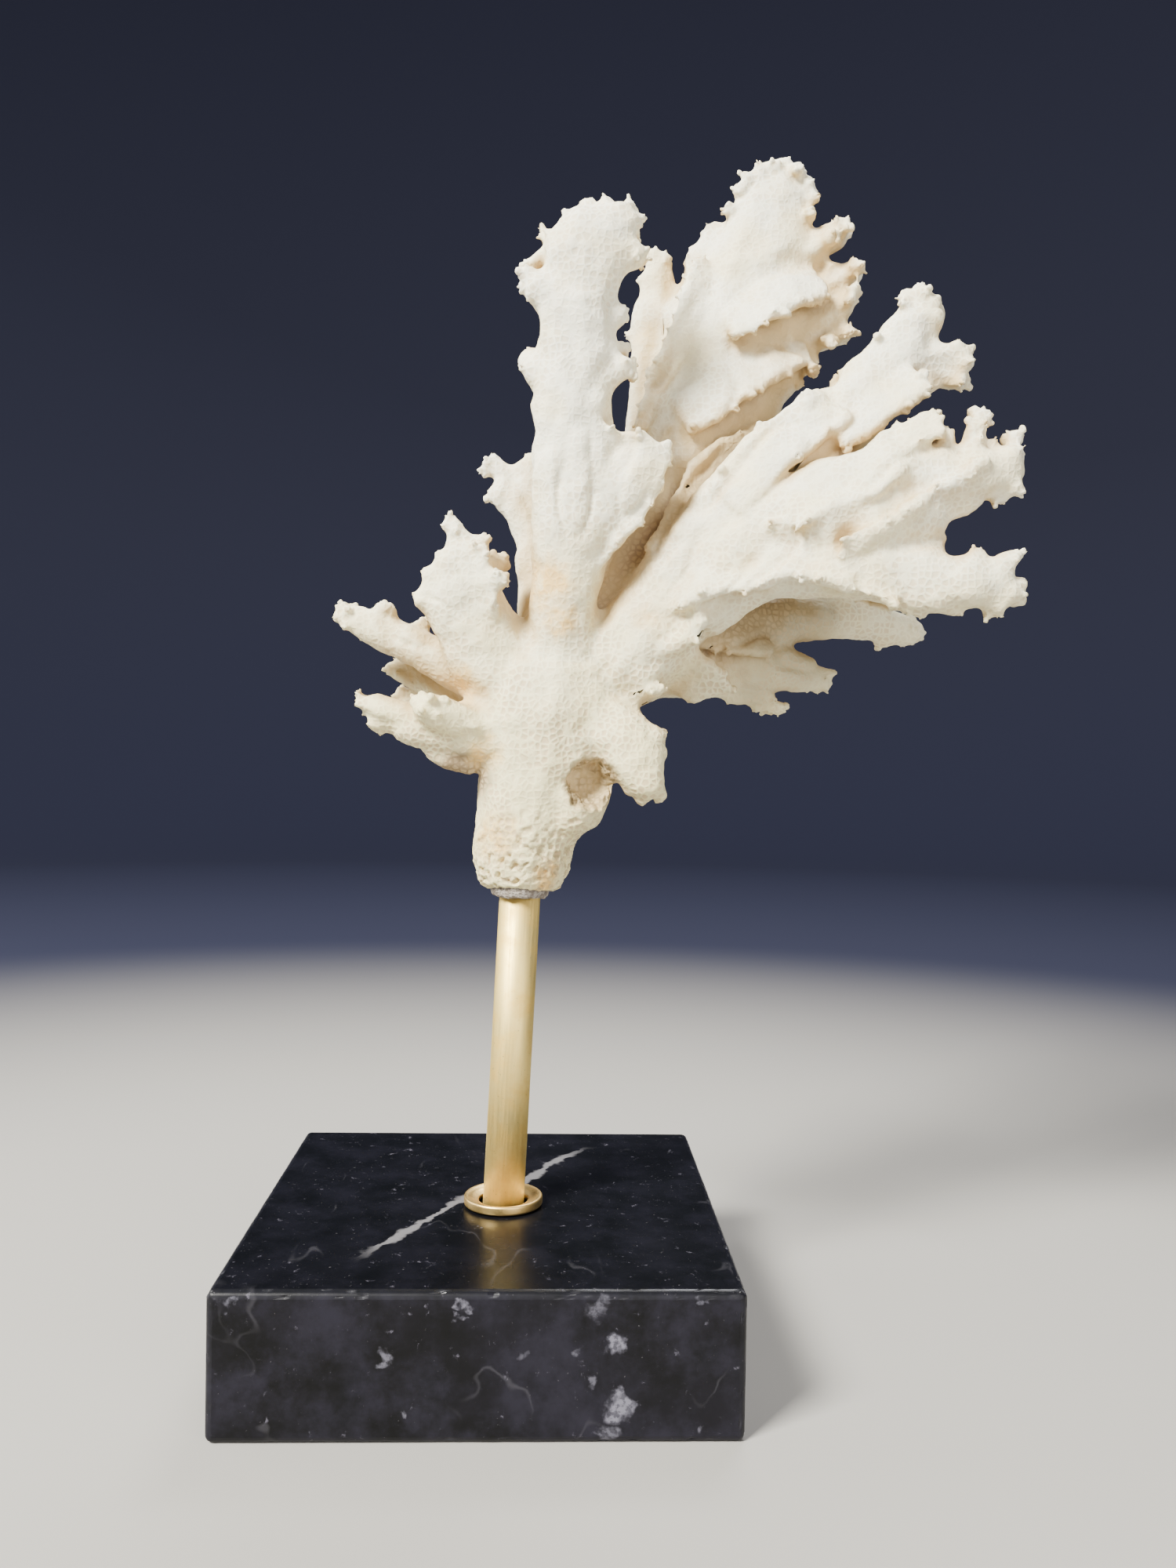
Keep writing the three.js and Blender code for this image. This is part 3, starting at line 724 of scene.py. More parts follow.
shape = bmesh.new()
shape.from_mesh(skin.data)
for fall, rim in LEDGES.values():
    for here, ahead in zip(rim, rim[1:]):
        add_wedge(shape, here, ahead, fall)
shape.to_mesh(skin.data)
shape.free()
print("Ledges:", len(LEDGES))

# %% [markdown]
# The knobs are too many to place, and they follow a rule: they sit where the skin bulges, along
# each rim, about three millimetres apart. Geometry Nodes can say that. Blurring the positions of
# the skin gives a smoother skin, and the distance from one to the other, measured along the
# normal, is large on a rim and nearly nothing on a flat side.
#
# %% Find the rims
KNOB_WRAP_SIZE = 0.6 * MM  # fingers and ledges join the skin first, so that knobs see one surface
KNOB_SIZES = {
    "Spacing": 2.8 * MM,  # the least from one knob to the next
    "Smallest": 0.8 * MM,  # radius of the smallest knob
    "Largest": 1.5 * MM,
    "Bulge": 0.62 * MM,  # skin that stands out by this much is a rim
    "Lowest": 0.126,  # metres: no knobs grow on the old foot below this height
    "Seed": 11,
}
KNOB_DENSITY = 1.5e6  # points to a square metre before the spacing thins them
KNOB_SINK = 0.4  # how far a knob sits in the skin, as a share of its radius
KNOB_STRETCH = 1.3
# No knobs grow on the broad face of the trunk, or in the deep gap. Places and radii in millimetres.
QUIET_PLACES = [((15, -14, 138), 22), ((40, 0, 186), 17)]


def rim_bulge(tree, position, outwards, rounds):
    """How far each point stands out from a blurred copy of the skin."""
    blurring = {"Value": position, "Iterations": rounds}
    calm = first(node(tree, "GeometryNodeBlurAttribute", blurring, data_type="FLOAT_VECTOR"))
    return vector_maths(tree, "DOT_PRODUCT", vector_maths(tree, "SUBTRACT", position, calm), outwards)


remesh_and_soften(skin, KNOB_WRAP_SIZE, 4)
knobs, given = geometry_tree("Rim knobs", **KNOB_SIZES)
position, outwards = place_and_normal(knobs)
bulge = rim_bulge(knobs, position, outwards, 30)
on_rim = eased(knobs, bulge, times(knobs, given["Bulge"], 0.6), given["Bulge"])
height = node(knobs, "ShaderNodeSeparateXYZ", {0: position}).outputs["Z"]
young = maths(knobs, "GREATER_THAN", height, given["Lowest"])
for centre, radius in QUIET_PLACES:
    away = vector_maths(knobs, "DISTANCE", position, Vector(centre) * MM)
    young = times(knobs, young, eased(knobs, away, radius * 0.7 * MM, radius * MM))
# A blur works on points only, and the scatter asks for corners, so the answer is fixed on points.
wanted = {"Value": times(knobs, on_rim, young)}
where = {"data_type": "FLOAT", "domain": "POINT"}
density = first(node(knobs, "GeometryNodeFieldOnDomain", wanted, **where))
print("Nodes that find the rims:", len(knobs.nodes))

# %% [markdown]
# That number drives the density of scattered points. Poisson spacing keeps them apart, and a small
# ball sits at each point, a little sunk and a little drawn out. The tree ends as they all do here:
# instances are made real, the material is set, and the modifier is turned into a plain mesh.
#
# %% Scatter the rim knobs
scatter = node(
    knobs,
    "GeometryNodeDistributePointsOnFaces",
    {
        "Mesh": given["Geometry"],
        "Distance Min": given["Spacing"],
        "Density Max": KNOB_DENSITY,
        "Density Factor": density,
        "Seed": given["Seed"],
    },
    distribute_method="POISSON",
)
sizes = {"Min": given["Smallest"], "Max": given["Largest"], "Seed": given["Seed"]}
knob_radius = first(node(knobs, "FunctionNodeRandomValue", sizes, data_type="FLOAT"))
sink = scaled(knobs, scatter.outputs["Normal"], times(knobs, knob_radius, -KNOB_SINK))
sunk = shifted(knobs, scatter.outputs["Points"], sink)
ball = node(knobs, "GeometryNodeMeshIcoSphere", {"Radius": 1.0, "Subdivisions": 2}).outputs[0]
sides = {0: knob_radius, 1: knob_radius, 2: times(knobs, knob_radius, KNOB_STRETCH)}
stretch = node(knobs, "ShaderNodeCombineXYZ", sides).outputs[0]
placing = {
    "Points": sunk,
    "Instance": ball,
    "Rotation": scatter.outputs["Rotation"],
    "Scale": stretch,
}
placed = node(knobs, "GeometryNodeInstanceOnPoints", placing).outputs[0]
close_tree(knobs, joined(knobs, placed, given["Geometry"]), coral)

BALL_POINTS = 42  # vertices in one of the small balls
before = len(skin.data.vertices)
run_tree(skin, knobs, **KNOB_SIZES)
print("Rim knobs:", (len(skin.data.vertices) - before) // BALL_POINTS)

# %% [markdown]
# A last, finer wrap joins the knobs to the blades. Its quads have to be small enough for the pits
# that come next, and no smaller, since every halving makes four times as many of them.
#
# %% Wrap again, finer
FINE_SIZE = 0.4 * MM
remesh_and_soften(skin, FINE_SIZE, 5)

# %% [markdown]
# ## Teeth, folds, cups and shelter
#
# The surface of the grown stone is made in one tree, over the next few cells. Each adds its share
# to a rise, in metres, that moves every point along its normal at the end. It starts with soft
# noise, which takes away the last of the plain shapes, and with the crumbled, broken foot.
#
# %% Lumps, ripples and the broken foot
SURFACE_SIZES = {
    "Lump": 0.75 * MM,  # how far broad lumps move the skin in or out
    "Ripple": 0.22 * MM,  # the same for finer ripples
    "Tooth": 1.1 * MM,  # height of a tooth, from its root to its top
    "Crease": 0.9 * MM,  # height of a fold
    "Pit": 0.13 * MM,  # depth of a polyp's cup
    "Hollow": 4.2 * MM,  # depth of the bowl in the broken stub
}
TOOTH_SPACING = 2.3  # millimetres from one tooth to the next
FORK_CENTRE = (17.0, -8.0, 140.0)  # where the folds start, in millimetres
FOLDS_AROUND = 4.5  # how fast the folds change round that centre
FOLDS_FROM = 26.0  # no folds nearer to the centre than this
FOLDS_FULL = 48.0
TEETH_FROM = 118.0  # no teeth or folds on the foot, below this height
TEETH_FULL = 134.0
HOLLOW_WAY = (-0.25, 0.95, 0.15)  # the way that the bowl of the stub goes in
surface, given = geometry_tree("Grown surface", **SURFACE_SIZES)
position, outwards = place_and_normal(surface)
in_mm = scaled(surface, position, 1 / MM)
height = node(surface, "ShaderNodeSeparateXYZ", {0: in_mm}).outputs["Z"]


def centred_noise(tree, vector, scale, detail, size, roughness=0.5):
    """Noise that runs from minus the size to plus the size."""
    level = noise(tree, vector, scale, detail, roughness)
    return times(tree, maths(tree, "MULTIPLY_ADD", level, 2.0, -1.0), size)


lump = centred_noise(surface, in_mm, 0.15, 1.0, given["Lump"])
ripple = centred_noise(surface, in_mm, 0.42, 2.0, given["Ripple"])
old = eased(surface, height, FOOT_LOW, FOOT_TOP, 1.0, 0.0)
crumble = centred_noise(surface, in_mm, 0.8, 3.0, 0.5 * MM)
broken = eased(surface, noise(surface, in_mm, 0.62, 1.0), 0.56, 0.68, 0.0, -0.9 * MM)
crumble = times(surface, maths(surface, "ADD", crumble, broken), old)
rise = maths(surface, "ADD", maths(surface, "ADD", lump, ripple), crumble)
print("Nodes for lumps and the foot:", len(surface.nodes))

# %% [markdown]
# The rims of the plates are cut into blunt teeth, each as wide as one cell of a Voronoi pattern.
# Soft folds run out along the limbs from the fork of the trunk, like the folds of a fan. They are
# the lines where a noise crosses its middle value, stretched along the way the limb grew.
#
# %% Teeth and folds
on_rim = eased(surface, rim_bulge(surface, position, outwards, 36), 0.34 * MM, 0.75 * MM)
tooth = eased(surface, cells(surface, in_mm, 1 / TOOTH_SPACING, 0.85), 0.0, 0.3, -0.55, 0.45)
tooth = times(surface, tooth, on_rim, given["Tooth"])
young = eased(surface, height, TEETH_FROM, TEETH_FULL)
rise = maths(surface, "MULTIPLY_ADD", tooth, young, rise)
from_fork = vector_maths(surface, "SUBTRACT", in_mm, FORK_CENTRE)
parts = node(surface, "ShaderNodeSeparateXYZ", {0: from_fork}).outputs
bearing = maths(surface, "ARCTAN2", parts["X"], parts["Z"])
spread = vector_maths(surface, "LENGTH", from_fork)
fan = {
    0: times(surface, bearing, FOLDS_AROUND),
    1: times(surface, spread, 0.045),
    2: times(surface, parts["Y"], 0.05),
}
fan_place = node(surface, "ShaderNodeCombineXYZ", fan).outputs[0]
fold = maths(surface, "SUBTRACT", noise(surface, fan_place, 1.0, 1.0), 0.5)
fold = maths(surface, "ABSOLUTE", fold)
crease = times(surface, eased(surface, fold, 0.0, 0.11, -0.7, 0.3), given["Crease"])
crease = times(surface, crease, eased(surface, spread, FOLDS_FROM, FOLDS_FULL))
rise = maths(surface, "MULTIPLY_ADD", crease, young, rise)
print("Nodes with teeth and folds:", len(surface.nodes))

# %% [markdown]
# The broken stub is hollow, and its ragged bowl goes straight back into the trunk. After that come
# the cups of the polyps: a small pit in the middle of each cell of the pattern, deep and open on
# the old foot and faint on the young lobes. The material has the same pattern at the same spacing,
# so its darker tan lies in the pits.
#
# %% The hollow stub and the cups
ragged = {"Vector": in_mm, "Scale": 0.45, "Detail": 2.0}
ragged = scaled(surface, node(surface, "ShaderNodeTexNoise", ragged).outputs[1], 4.0)
steady = vector_maths(surface, "SUBTRACT", in_mm, (2.0, 2.0, 2.0))
ragged = vector_maths(surface, "ADD", steady, ragged)
from_hollow = vector_maths(surface, "DISTANCE", ragged, HOLLOW_CENTRE)
dent = times(surface, eased(surface, from_hollow, 3.1, 6.2, 1.0, 0.0), given["Hollow"])
dent = scaled(surface, HOLLOW_WAY, dent)
lumpy = shifted(
    surface, given["Geometry"], vector_maths(surface, "ADD", scaled(surface, outwards, rise), dent)
)
# The cups are deep on the foot, fade towards the tips, and are missing in patches.
deep = eased(surface, height, 104.0, FOOT_TOP, 1.6, 0.8)
fading = eased(surface, height, 150.0, 200.0, 1.0, 0.38)
patchy = eased(surface, noise(surface, in_mm, 0.09, 2.0), 0.36, 0.62, 0.3, 1.0)
bowl = eased(surface, cells(surface, in_mm, 1 / CUP_SPACING, CUP_RANDOMNESS), 0.04, 0.3)
sink = times(surface, bowl, deep, times(surface, fading, patchy))
sink = times(surface, sink, times(surface, given["Pit"], -1.0))
pitted = shifted(surface, lumpy, scaled(surface, outwards, sink))
print("Nodes so far:", len(surface.nodes))

# %% [markdown]
# The tree also measures shelter. From each point it casts rays to many sides and adds up how many
# hit the coral close by. A crotch scores high and a tip scores nothing. The result is kept on the
# mesh, and from it the coral's material paints a tan that is partly painted shade, and a painted
# brown shade.
#
# %% Measure the shelter
RAY_COUNT = 22
RAY_LENGTH = 22 * MM
RAY_LIFT = 0.4 * MM  # rays start this far out, so that they don't hit their own face
start = vector_maths(surface, "ADD", position, scaled(surface, outwards, RAY_LIFT))
hits = 0.0
weights = 0.0
for direction in even_directions(RAY_COUNT):
    facing = vector_maths(surface, "DOT_PRODUCT", direction, outwards)
    side = maths(surface, "SIGN", facing)
    weight = maths(surface, "ABSOLUTE", facing)
    ray = {
        "Target Geometry": pitted,
        "Source Position": start,
        "Ray Direction": scaled(surface, direction, side),
        "Ray Length": RAY_LENGTH,
    }
    hit = first(node(surface, "GeometryNodeRaycast", ray), "Is Hit")
    hits = maths(surface, "MULTIPLY_ADD", hit, weight, hits)
    weights = maths(surface, "ADD", weight, weights)
share = maths(surface, "DIVIDE", hits, weights)


def blurred(tree, value, rounds):
    """A number evened out with its neighbours on the mesh."""
    inputs = {"Value": value, "Iterations": rounds}
    return first(node(tree, "GeometryNodeBlurAttribute", inputs, data_type="FLOAT"))


def store(tree, geometry, name, value, data_type="FLOAT", domain="POINT"):
    """Keeps a value on the mesh under a name."""
    inputs = {"Geometry": geometry, "Name": name, "Value": value}
    settings = {"data_type": data_type, "domain": domain}
    return node(tree, "GeometryNodeStoreNamedAttribute", inputs, **settings).outputs[0]


sheltered = store(surface, pitted, "shelter", blurred(surface, share, 12))

# %% [markdown]
# ## Back to one piece for each fork
#
# The frame has eleven coral nodes, and each needs a piece that stands for it. Every face of the
# skin is given the number of the CAD fork that lies nearest. Eleven Geometry Proximity nodes do
# that in the same tree, each one keeping its number if it beats the best distance so far.
#
# %% Number the faces by fork
best = 1.0
number = 0.0
for index, name in enumerate(forks):
    fork = node(surface, "GeometryNodeObjectInfo", {"Object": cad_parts[name]})
    away = first(node(surface, "GeometryNodeProximity", {0: fork.outputs["Geometry"]}), "Distance")
    calm = blurred(surface, away, 6)
    nearer = maths(surface, "LESS_THAN", calm, best)
    best = maths(surface, "MINIMUM", calm, best)
    choice = {"Factor": nearer, "A": number, "B": float(index)}
    number = node(surface, "ShaderNodeMix", choice, data_type="FLOAT").outputs[0]
numbered = store(surface, sheltered, "fork", number, "INT", "FACE")
close_tree(surface, numbered, coral)
run_tree(skin, surface, **SURFACE_SIZES)
measured = np.empty(len(skin.data.vertices), np.float32)
skin.data.attributes["shelter"].data.foreach_get("value", measured)
print("Shelter, from open to deep:", np.percentile(measured, [5, 25, 50, 75, 95, 99]).round(2))

# %% [markdown]
# Cutting the skin apart leaves each piece open where it met its neighbours. A piece has to be a
# closed body, so each open loop is closed with a fan of triangles to a point inside the coral,
# where nobody sees it. The shading needs care as well: a cut edge would lose half of the faces
# that its normals are averaged from and show as a crease. So the normals of the whole skin are
# handed on to each piece as custom normals.
#
# %% Cut the skin into pieces


def numbers_of(items, key, kind, width=1):
    """One property of every item as an array."""
    flat = np.empty(len(items) * width, kind)
    items.foreach_get(key, flat)
    return flat.reshape(-1, width) if width > 1 else flat


def open_loops(quads):
    """The loops of edges that only one face uses, each a list of vertices in face order."""
    edges = np.concatenate([quads[:, [i, (i + 1) % 4]] for i in range(4)])
    size = int(quads.max()) + 1
    keys = edges[:, 0].astype(np.int64) * size + edges[:, 1]
    back = edges[:, 1].astype(np.int64) * size + edges[:, 0]
    rim = edges[~np.isin(keys, back)]
    following = {}
    for a, b in rim.tolist():
        following.setdefault(a, []).append(b)
    loops = []
    while following:
        begin = next(iter(following))
        loop = [begin]
        here = begin
        while here in following:
            ahead = following[here].pop()
            if not following[here]:
                del following[here]
            here = ahead
            if here == begin:
                break
            loop.append(here)
        loops.append(loop)
    return loops


def closed_mesh(name, points, normals, shelter, quads):
    """A closed mesh of some of the skin's quads, with the skin's own normals."""
    used, local = np.unique(quads, return_inverse=True)
    local = local.reshape(-1, 4)
    middle = points[used].mean(0)
    co, normal, sheltering = points[used], normals[used], shelter[used]
    fans = []
    loops = open_loops(local)
    for loop in loops:
        ring = co[loop]
        centre = ring.mean(0)
        spread = np.linalg.norm(ring - centre, axis=1).mean()
        centre = centre - normal[loop].mean(0) * spread * 0.6
        inward = middle - centre
        centre = centre + inward / (np.linalg.norm(inward) + 1e-9) * 0.2 * MM
        hub = len(co)
        co = np.vstack([co, centre])
        normal = np.vstack([normal, [[0.0, 0.0, 1.0]]])
        sheltering = np.append(sheltering, 1.0)
        for a, b in zip(loop, loop[1:] + loop[:1]):
            fans.append((b, a, hub))
    mesh = bpy.data.meshes.new(name)
    mesh.from_pydata(co.tolist(), [], local.tolist() + fans)
    kept = mesh.attributes.new("shelter", "FLOAT", "POINT")
    kept.data.foreach_set("value", sheltering.astype(np.float32))
    mesh.materials.append(coral)
    mesh.normals_split_custom_set_from_vertices(normal.tolist())
    return mesh, loops


skin_points = point_set(skin.data).astype(float)
skin_normals = numbers_of(skin.data.vertex_normals, "vector", np.float32, 3).astype(float)
skin_shelter = numbers_of(skin.data.attributes["shelter"].data, "value", np.float32)
face_fork = numbers_of(skin.data.attributes["fork"].data, "value", np.int32)
skin_quads = numbers_of(skin.data.loops, "vertex_index", np.int32).reshape(-1, 4)
for index, name in enumerate(forks):
    mesh, loops = closed_mesh(
        name + "_skin", skin_points, skin_normals, skin_shelter, skin_quads[face_fork == index]
    )
    piece = new_piece(name + "_grown", mesh)
    finished_piece(piece, name)
    print("   closed loops:", sorted((len(loop) for loop in loops), reverse=True)[:8])
bpy.data.objects.remove(skin)

# %% [markdown]
# ## The marble block
#
# The block is sawn and polished black marble with softly worn edges. A beveled cube would have the
# right outline but large empty faces, and the tiny chips along its edges need points to move. So a
# fine grid is laid over each face of a box, closest together near the edges, and every point is
# pulled on to a rounded box: the nearest place on an inner box, plus the edge radius outwards.
#
# %% Lay the grid and round it
BLOCK = Vector((100.0, 100.0, 28.4))
EDGE_RADIUS = 1.45
EDGE_STEPS = 6


def stops(side, count):
    """Places along one side of the block: fine over the rounding, even in between."""
    inner = side / 2 - EDGE_RADIUS
    fine = np.linspace(inner, side / 2, EDGE_STEPS + 1)[1:]
    return np.concatenate([-fine[::-1], np.linspace(-inner, inner, count), fine])


def rounded_block():
    """A closed, finely divided box with rounded edges, standing on z = 0."""
    lines = [stops(BLOCK[0], 90), stops(BLOCK[1], 90), stops(BLOCK[2], 24)]
    shape = bmesh.new()
    for axis in range(3):
        u, v = [k for k in range(3) if k != axis]
        for sign in (-1, 1):
            grid = []
            for a in lines[u]:
                row = []
                for b in lines[v]:
                    place = [0.0, 0.0, 0.0]
                    place[u], place[v], place[axis] = a, b, sign * BLOCK[axis] / 2
                    row.append(shape.verts.new(place))
                grid.append(row)
            for i in range(len(grid) - 1):
                for j in range(len(grid[0]) - 1):
                    corners = [grid[i][j], grid[i + 1][j], grid[i + 1][j + 1], grid[i][j + 1]]
                    shape.faces.new(corners)
    bmesh.ops.remove_doubles(shape, verts=shape.verts, dist=0.001)
    bmesh.ops.recalc_face_normals(shape, faces=shape.faces)
    mesh = mesh_from(shape, "marble_block")
    places = point_set(mesh).astype(float)
    inner = np.array(BLOCK) / 2 - EDGE_RADIUS
    core = np.clip(places, -inner, inner)
    out = places - core
    places = core + out / np.linalg.norm(out, axis=1)[:, None] * EDGE_RADIUS
    places[:, 2] += BLOCK[2] / 2
    mesh.vertices.foreach_set("co", (places * MM).astype(np.float32).ravel())
    mesh.update()
    return mesh


block = new_piece("marble_block_polished", rounded_block())
print("Block size, mm:", [round(d / MM, 2) for d in block.dimensions])

# %% [markdown]
# Black marble is a dark ground with thin white lines of calcite. On this block one vein crosses
# the top from front left to back right, passing under the collar. Its course is known, so it is a
# band round a line, moved sideways by a Float Curve. The cloudy violet cast, the wisps and the
# fine flecks have no fixed place and come from noise. A few bright patches of the front face are
# placed one by one. The polished top is painted darker, as the dark reflection that it shows. The
# worn edges, lighter partly as wear and partly as a painted highlight, and the chips are read from
# the mesh, where the next step keeps them.
#
# %% The marble material
VEIN_POINT = (-6.0, -1.2, 0.0)
VEIN_ALONG = (0.563, 0.826, 0.0)
VEIN_ACROSS = (0.826, -0.563, 0.0)
VEIN_REACH = 50.0  # the curve runs from this far before the point to this far after it
# The course of the vein: a place along its line, and how far it lies to the side there.
VEIN_COURSE = [(-50, 4.5), (-36, 3.2), (-26, 2.4), (-12, 0.9), (0, 0.0), (19, 4.1), (35, 1.9), (50, 3.4)]
COURSE_HEIGHT = 10.0  # the most that the curve can show, in millimetres
# x, z and radius of the bright patches on the front face, and how bright each is.
FRONT_PATCHES = [
    (25.4, 18.7, 2.3, 0.9), (22.4, 25.0, 2.5, 0.4), (26.3, 6.9, 3.2, 1.0), (24.2, 1.8, 2.6, 0.55),
    (19.0, 17.0, 1.4, 0.4), (21.0, 11.0, 1.3, 0.45), (-2.9, 26.2, 1.5, 0.7), (-4.0, 23.5, 1.1, 0.55),
    (-17.2, 16.5, 1.9, 0.6), (-13.5, 6.5, 1.0, 0.5), (41.5, 27.0, 1.3, 0.4), (8.0, 17.0, 1.6, 0.3),
    (41.0, 2.8, 1.2, 0.5), (-45.8, 26.6, 1.4, 0.45),
]
BLACK = (0.0012, 0.0013, 0.0015)
SMOKE = (0.004, 0.0037, 0.006)
VIOLET_CLOUD = (0.013, 0.012, 0.0195)
# Painted reflection: the polished top is painted darker.
TOP_PAINTED_REFLECTION = (0.0025, 0.003, 0.0036)
WISP_WHITE = (0.15, 0.145, 0.165)
FLECK_GREY = (0.16, 0.15, 0.19)
DUST_GREY = (0.2, 0.19, 0.2)
PATCH_GREY = (0.15, 0.145, 0.18)
VEIN_WHITE = (0.17, 0.165, 0.175)
# Rounded edges are lighter, partly as wear and partly as a painted highlight.
EDGE_WEAR_AND_PAINTED_HIGHLIGHT = (0.035, 0.035, 0.045)
CHIP_GREY = (0.13, 0.13, 0.145)


def vein_centre(tree, along):
    """How far the vein lies to the side of its line, read from a curve."""
    inputs = {"Value": along, "From Min": -VEIN_REACH, "From Max": VEIN_REACH}
    place = first(node(tree, "ShaderNodeMapRange", inputs))
    made = node(tree, "ShaderNodeFloatCurve", {"Value": place})
    points = made.mapping.curves[0].points
    spots = [((at + VEIN_REACH) / (2 * VEIN_REACH), aside / COURSE_HEIGHT) for at, aside in VEIN_COURSE]
    points[0].location = spots[0]
    points[-1].location = spots[-1]
    for spot in spots[1:-1]:
        points.new(*spot)
    made.mapping.update()
    return times(tree, made.outputs[0], COURSE_HEIGHT)


def marble_material():
    """Black marble, polished on top and duller on the sides, with the top painted darker as a
    reflection.
    """
    made, tree, shader, place = start_material("Black marble")
    warp = node(tree, "ShaderNodeTexNoise", {"Vector": place, "Scale": 0.3, "Detail": 5.0}).outputs[1]
    warp = vector_maths(tree, "SUBTRACT", warp, (0.5, 0.5, 0.5))
    shift = scaled(tree, warp, 3.2)
    warped = vector_maths(tree, "ADD", place, shift)
    # The main vein, which thins out at both ends.
    start = vector_maths(tree, "SUBTRACT", warped, VEIN_POINT)
    along = vector_maths(tree, "DOT_PRODUCT", start, VEIN_ALONG)
    across = vector_maths(tree, "DOT_PRODUCT", start, VEIN_ACROSS)
    aside = maths(tree, "SUBTRACT", across, vein_centre(tree, along))
    width = eased(tree, noise(tree, place, 0.16, 2.0), 0.36, 0.66, 0.7, 2.1)
    aside = maths(tree, "DIVIDE", maths(tree, "ABSOLUTE", aside), width)
    ends = times(tree, eased(tree, along, -40.0, -26.0), eased(tree, along, 36.0, 50.0, 1.0, 0.0))
    vein = times(tree, eased(tree, aside, 0.45, 1.1, 1.0, 0.0), ends)
    # Wisps: thin lines where a stretched noise crosses its middle value.
    calm = vector_maths(tree, "ADD", place, scaled(tree, shift, 0.4))
    leaning = {"Vector": calm, "Rotation": (0.5, 0.3, 0.6), "Scale": (1.0, 0.35, 1.0)}
    level = noise(tree, node(tree, "ShaderNodeMapping", leaning).outputs[0], 0.055, 2.0, 0.5)
    level = maths(tree, "ABSOLUTE", maths(tree, "SUBTRACT", level, 0.5))
    in_places = eased(tree, noise(tree, place, 0.06, 2.0), 0.52, 0.68)
    wisp = times(tree, eased(tree, level, 0.0, 0.012, 1.0, 0.0), in_places)
    # Bright patches on the front face, with ragged outlines.
    near = vector_maths(tree, "ADD", place, scaled(tree, warp, 8.5))
    front = -BLOCK[1] / 2
    spots = [((x, front, z), radius * 1.05, light) for x, z, radius, light in FRONT_PATCHES]
    ragged = eased(tree, noise(tree, place, 0.8, 4.0, 0.65), 0.4, 0.56, 0.45, 1.3)
    patches = times(tree, nearness(tree, near, spots, 1 / 3), ragged)
    # Flecks and dust lie all over, and clouds under them.
    fleck = eased(tree, noise(tree, warped, 0.34, 6.0, 0.7), 0.62, 0.74)
    dust = eased(tree, noise(tree, place, 1.7, 2.0, 0.5), 0.7, 0.78)
    cloud = noise(tree, place, 0.05, 4.0, 0.6)
    mottle = eased(tree, noise(tree, place, 0.11, 6.0, 0.7), 0.36, 0.72)
    height = node(tree, "ShaderNodeSeparateXYZ", {0: place}).outputs["Z"]
    polished = eased(tree, height, BLOCK[2] - 1.2, BLOCK[2] - 0.2)
    colour = blend(tree, eased(tree, cloud, 0.38, 0.66), BLACK, SMOKE)
    layers = [
        (mottle, 0.9, VIOLET_CLOUD),
        # The top is smoother, and it is also painted darker as a dark reflection.
        (polished, 0.62, TOP_PAINTED_REFLECTION),
        (wisp, 0.13, WISP_WHITE),
        (fleck, 0.55, FLECK_GREY),
        (dust, 0.3, DUST_GREY),
        (patches, 0.85, PATCH_GREY),
        (vein, 0.82, VEIN_WHITE),
        # Lighter edges: partly wear, partly a painted highlight.
        (stored(tree, "edge"), 0.08, EDGE_WEAR_AND_PAINTED_HIGHLIGHT),
        (stored(tree, "chip"), 0.4, CHIP_GREY),
    ]
    colour = layered(tree, colour, layers)
    rough = maths(tree, "ADD", eased(tree, polished, 0.0, 1.0, 0.42, 0.2), times(tree, cloud, 0.12))
    rough = maths(tree, "ADD", rough, times(tree, patches, 0.15))
    normal = bumped(tree, noise(tree, place, 0.9, 4.0, 0.6), 0.012 * MM)
    set_shader(tree, shader, Base_Color=colour, Roughness=rough, Normal=normal, Specular_IOR_Level=0.2)
    return made


marble = marble_material()
print("Nodes in the marble material:", len(marble.node_tree.nodes))

# %% [markdown]
# The wear is a small Geometry Nodes tree. It moves points inwards by noise, but only on the
# rounded edges, where the stored distance past the flat faces in two directions at once is not
# zero. Then a Boolean modifier drills the hole that the stem stands in. The hole matters, because
# a dark ring of it shows inside the collar.
#
# %% Wear the edges and drill the hole
WEAR_SIZES = {"Chip": 0.5 * MM}
wear, given = geometry_tree("Worn edges", **WEAR_SIZES)
position, outwards = place_and_normal(wear)
block_mm = scaled(wear, position, 1 / MM)
centre = vector_maths(wear, "SUBTRACT", block_mm, (0.0, 0.0, BLOCK[2] / 2))
flat_half = tuple(side / 2 - EDGE_RADIUS for side in BLOCK)
past = vector_maths(wear, "SUBTRACT", vector_maths(wear, "ABSOLUTE", centre), flat_half)
past = vector_maths(wear, "MAXIMUM", past, (0.0, 0.0, 0.0))
x, y, z = node(wear, "ShaderNodeSeparateXYZ", {0: past}).outputs
pairs = [times(wear, a, b) for a, b in ((x, y), (y, z), (z, x))]
both = maths(wear, "ADD", maths(wear, "ADD", pairs[0], pairs[1]), pairs[2])
edge = eased(wear, both, 0.0, 0.5)
chips = eased(wear, noise(wear, block_mm, 0.55, 4.0, 0.6), 0.57, 0.74)
worn = times(wear, noise(wear, block_mm, 0.12, 2.0), 0.3)
worn = maths(wear, "MULTIPLY_ADD", chips, 0.9, worn)
depth = times(wear, worn, edge, times(wear, given["Chip"], -1.0))
kept = store(wear, shifted(wear, given["Geometry"], scaled(wear, outwards, depth)), "edge", edge)
kept = store(wear, kept, "chip", times(wear, chips, edge))
close_tree(wear, kept, marble)
run_tree(block, wear, **WEAR_SIZES)

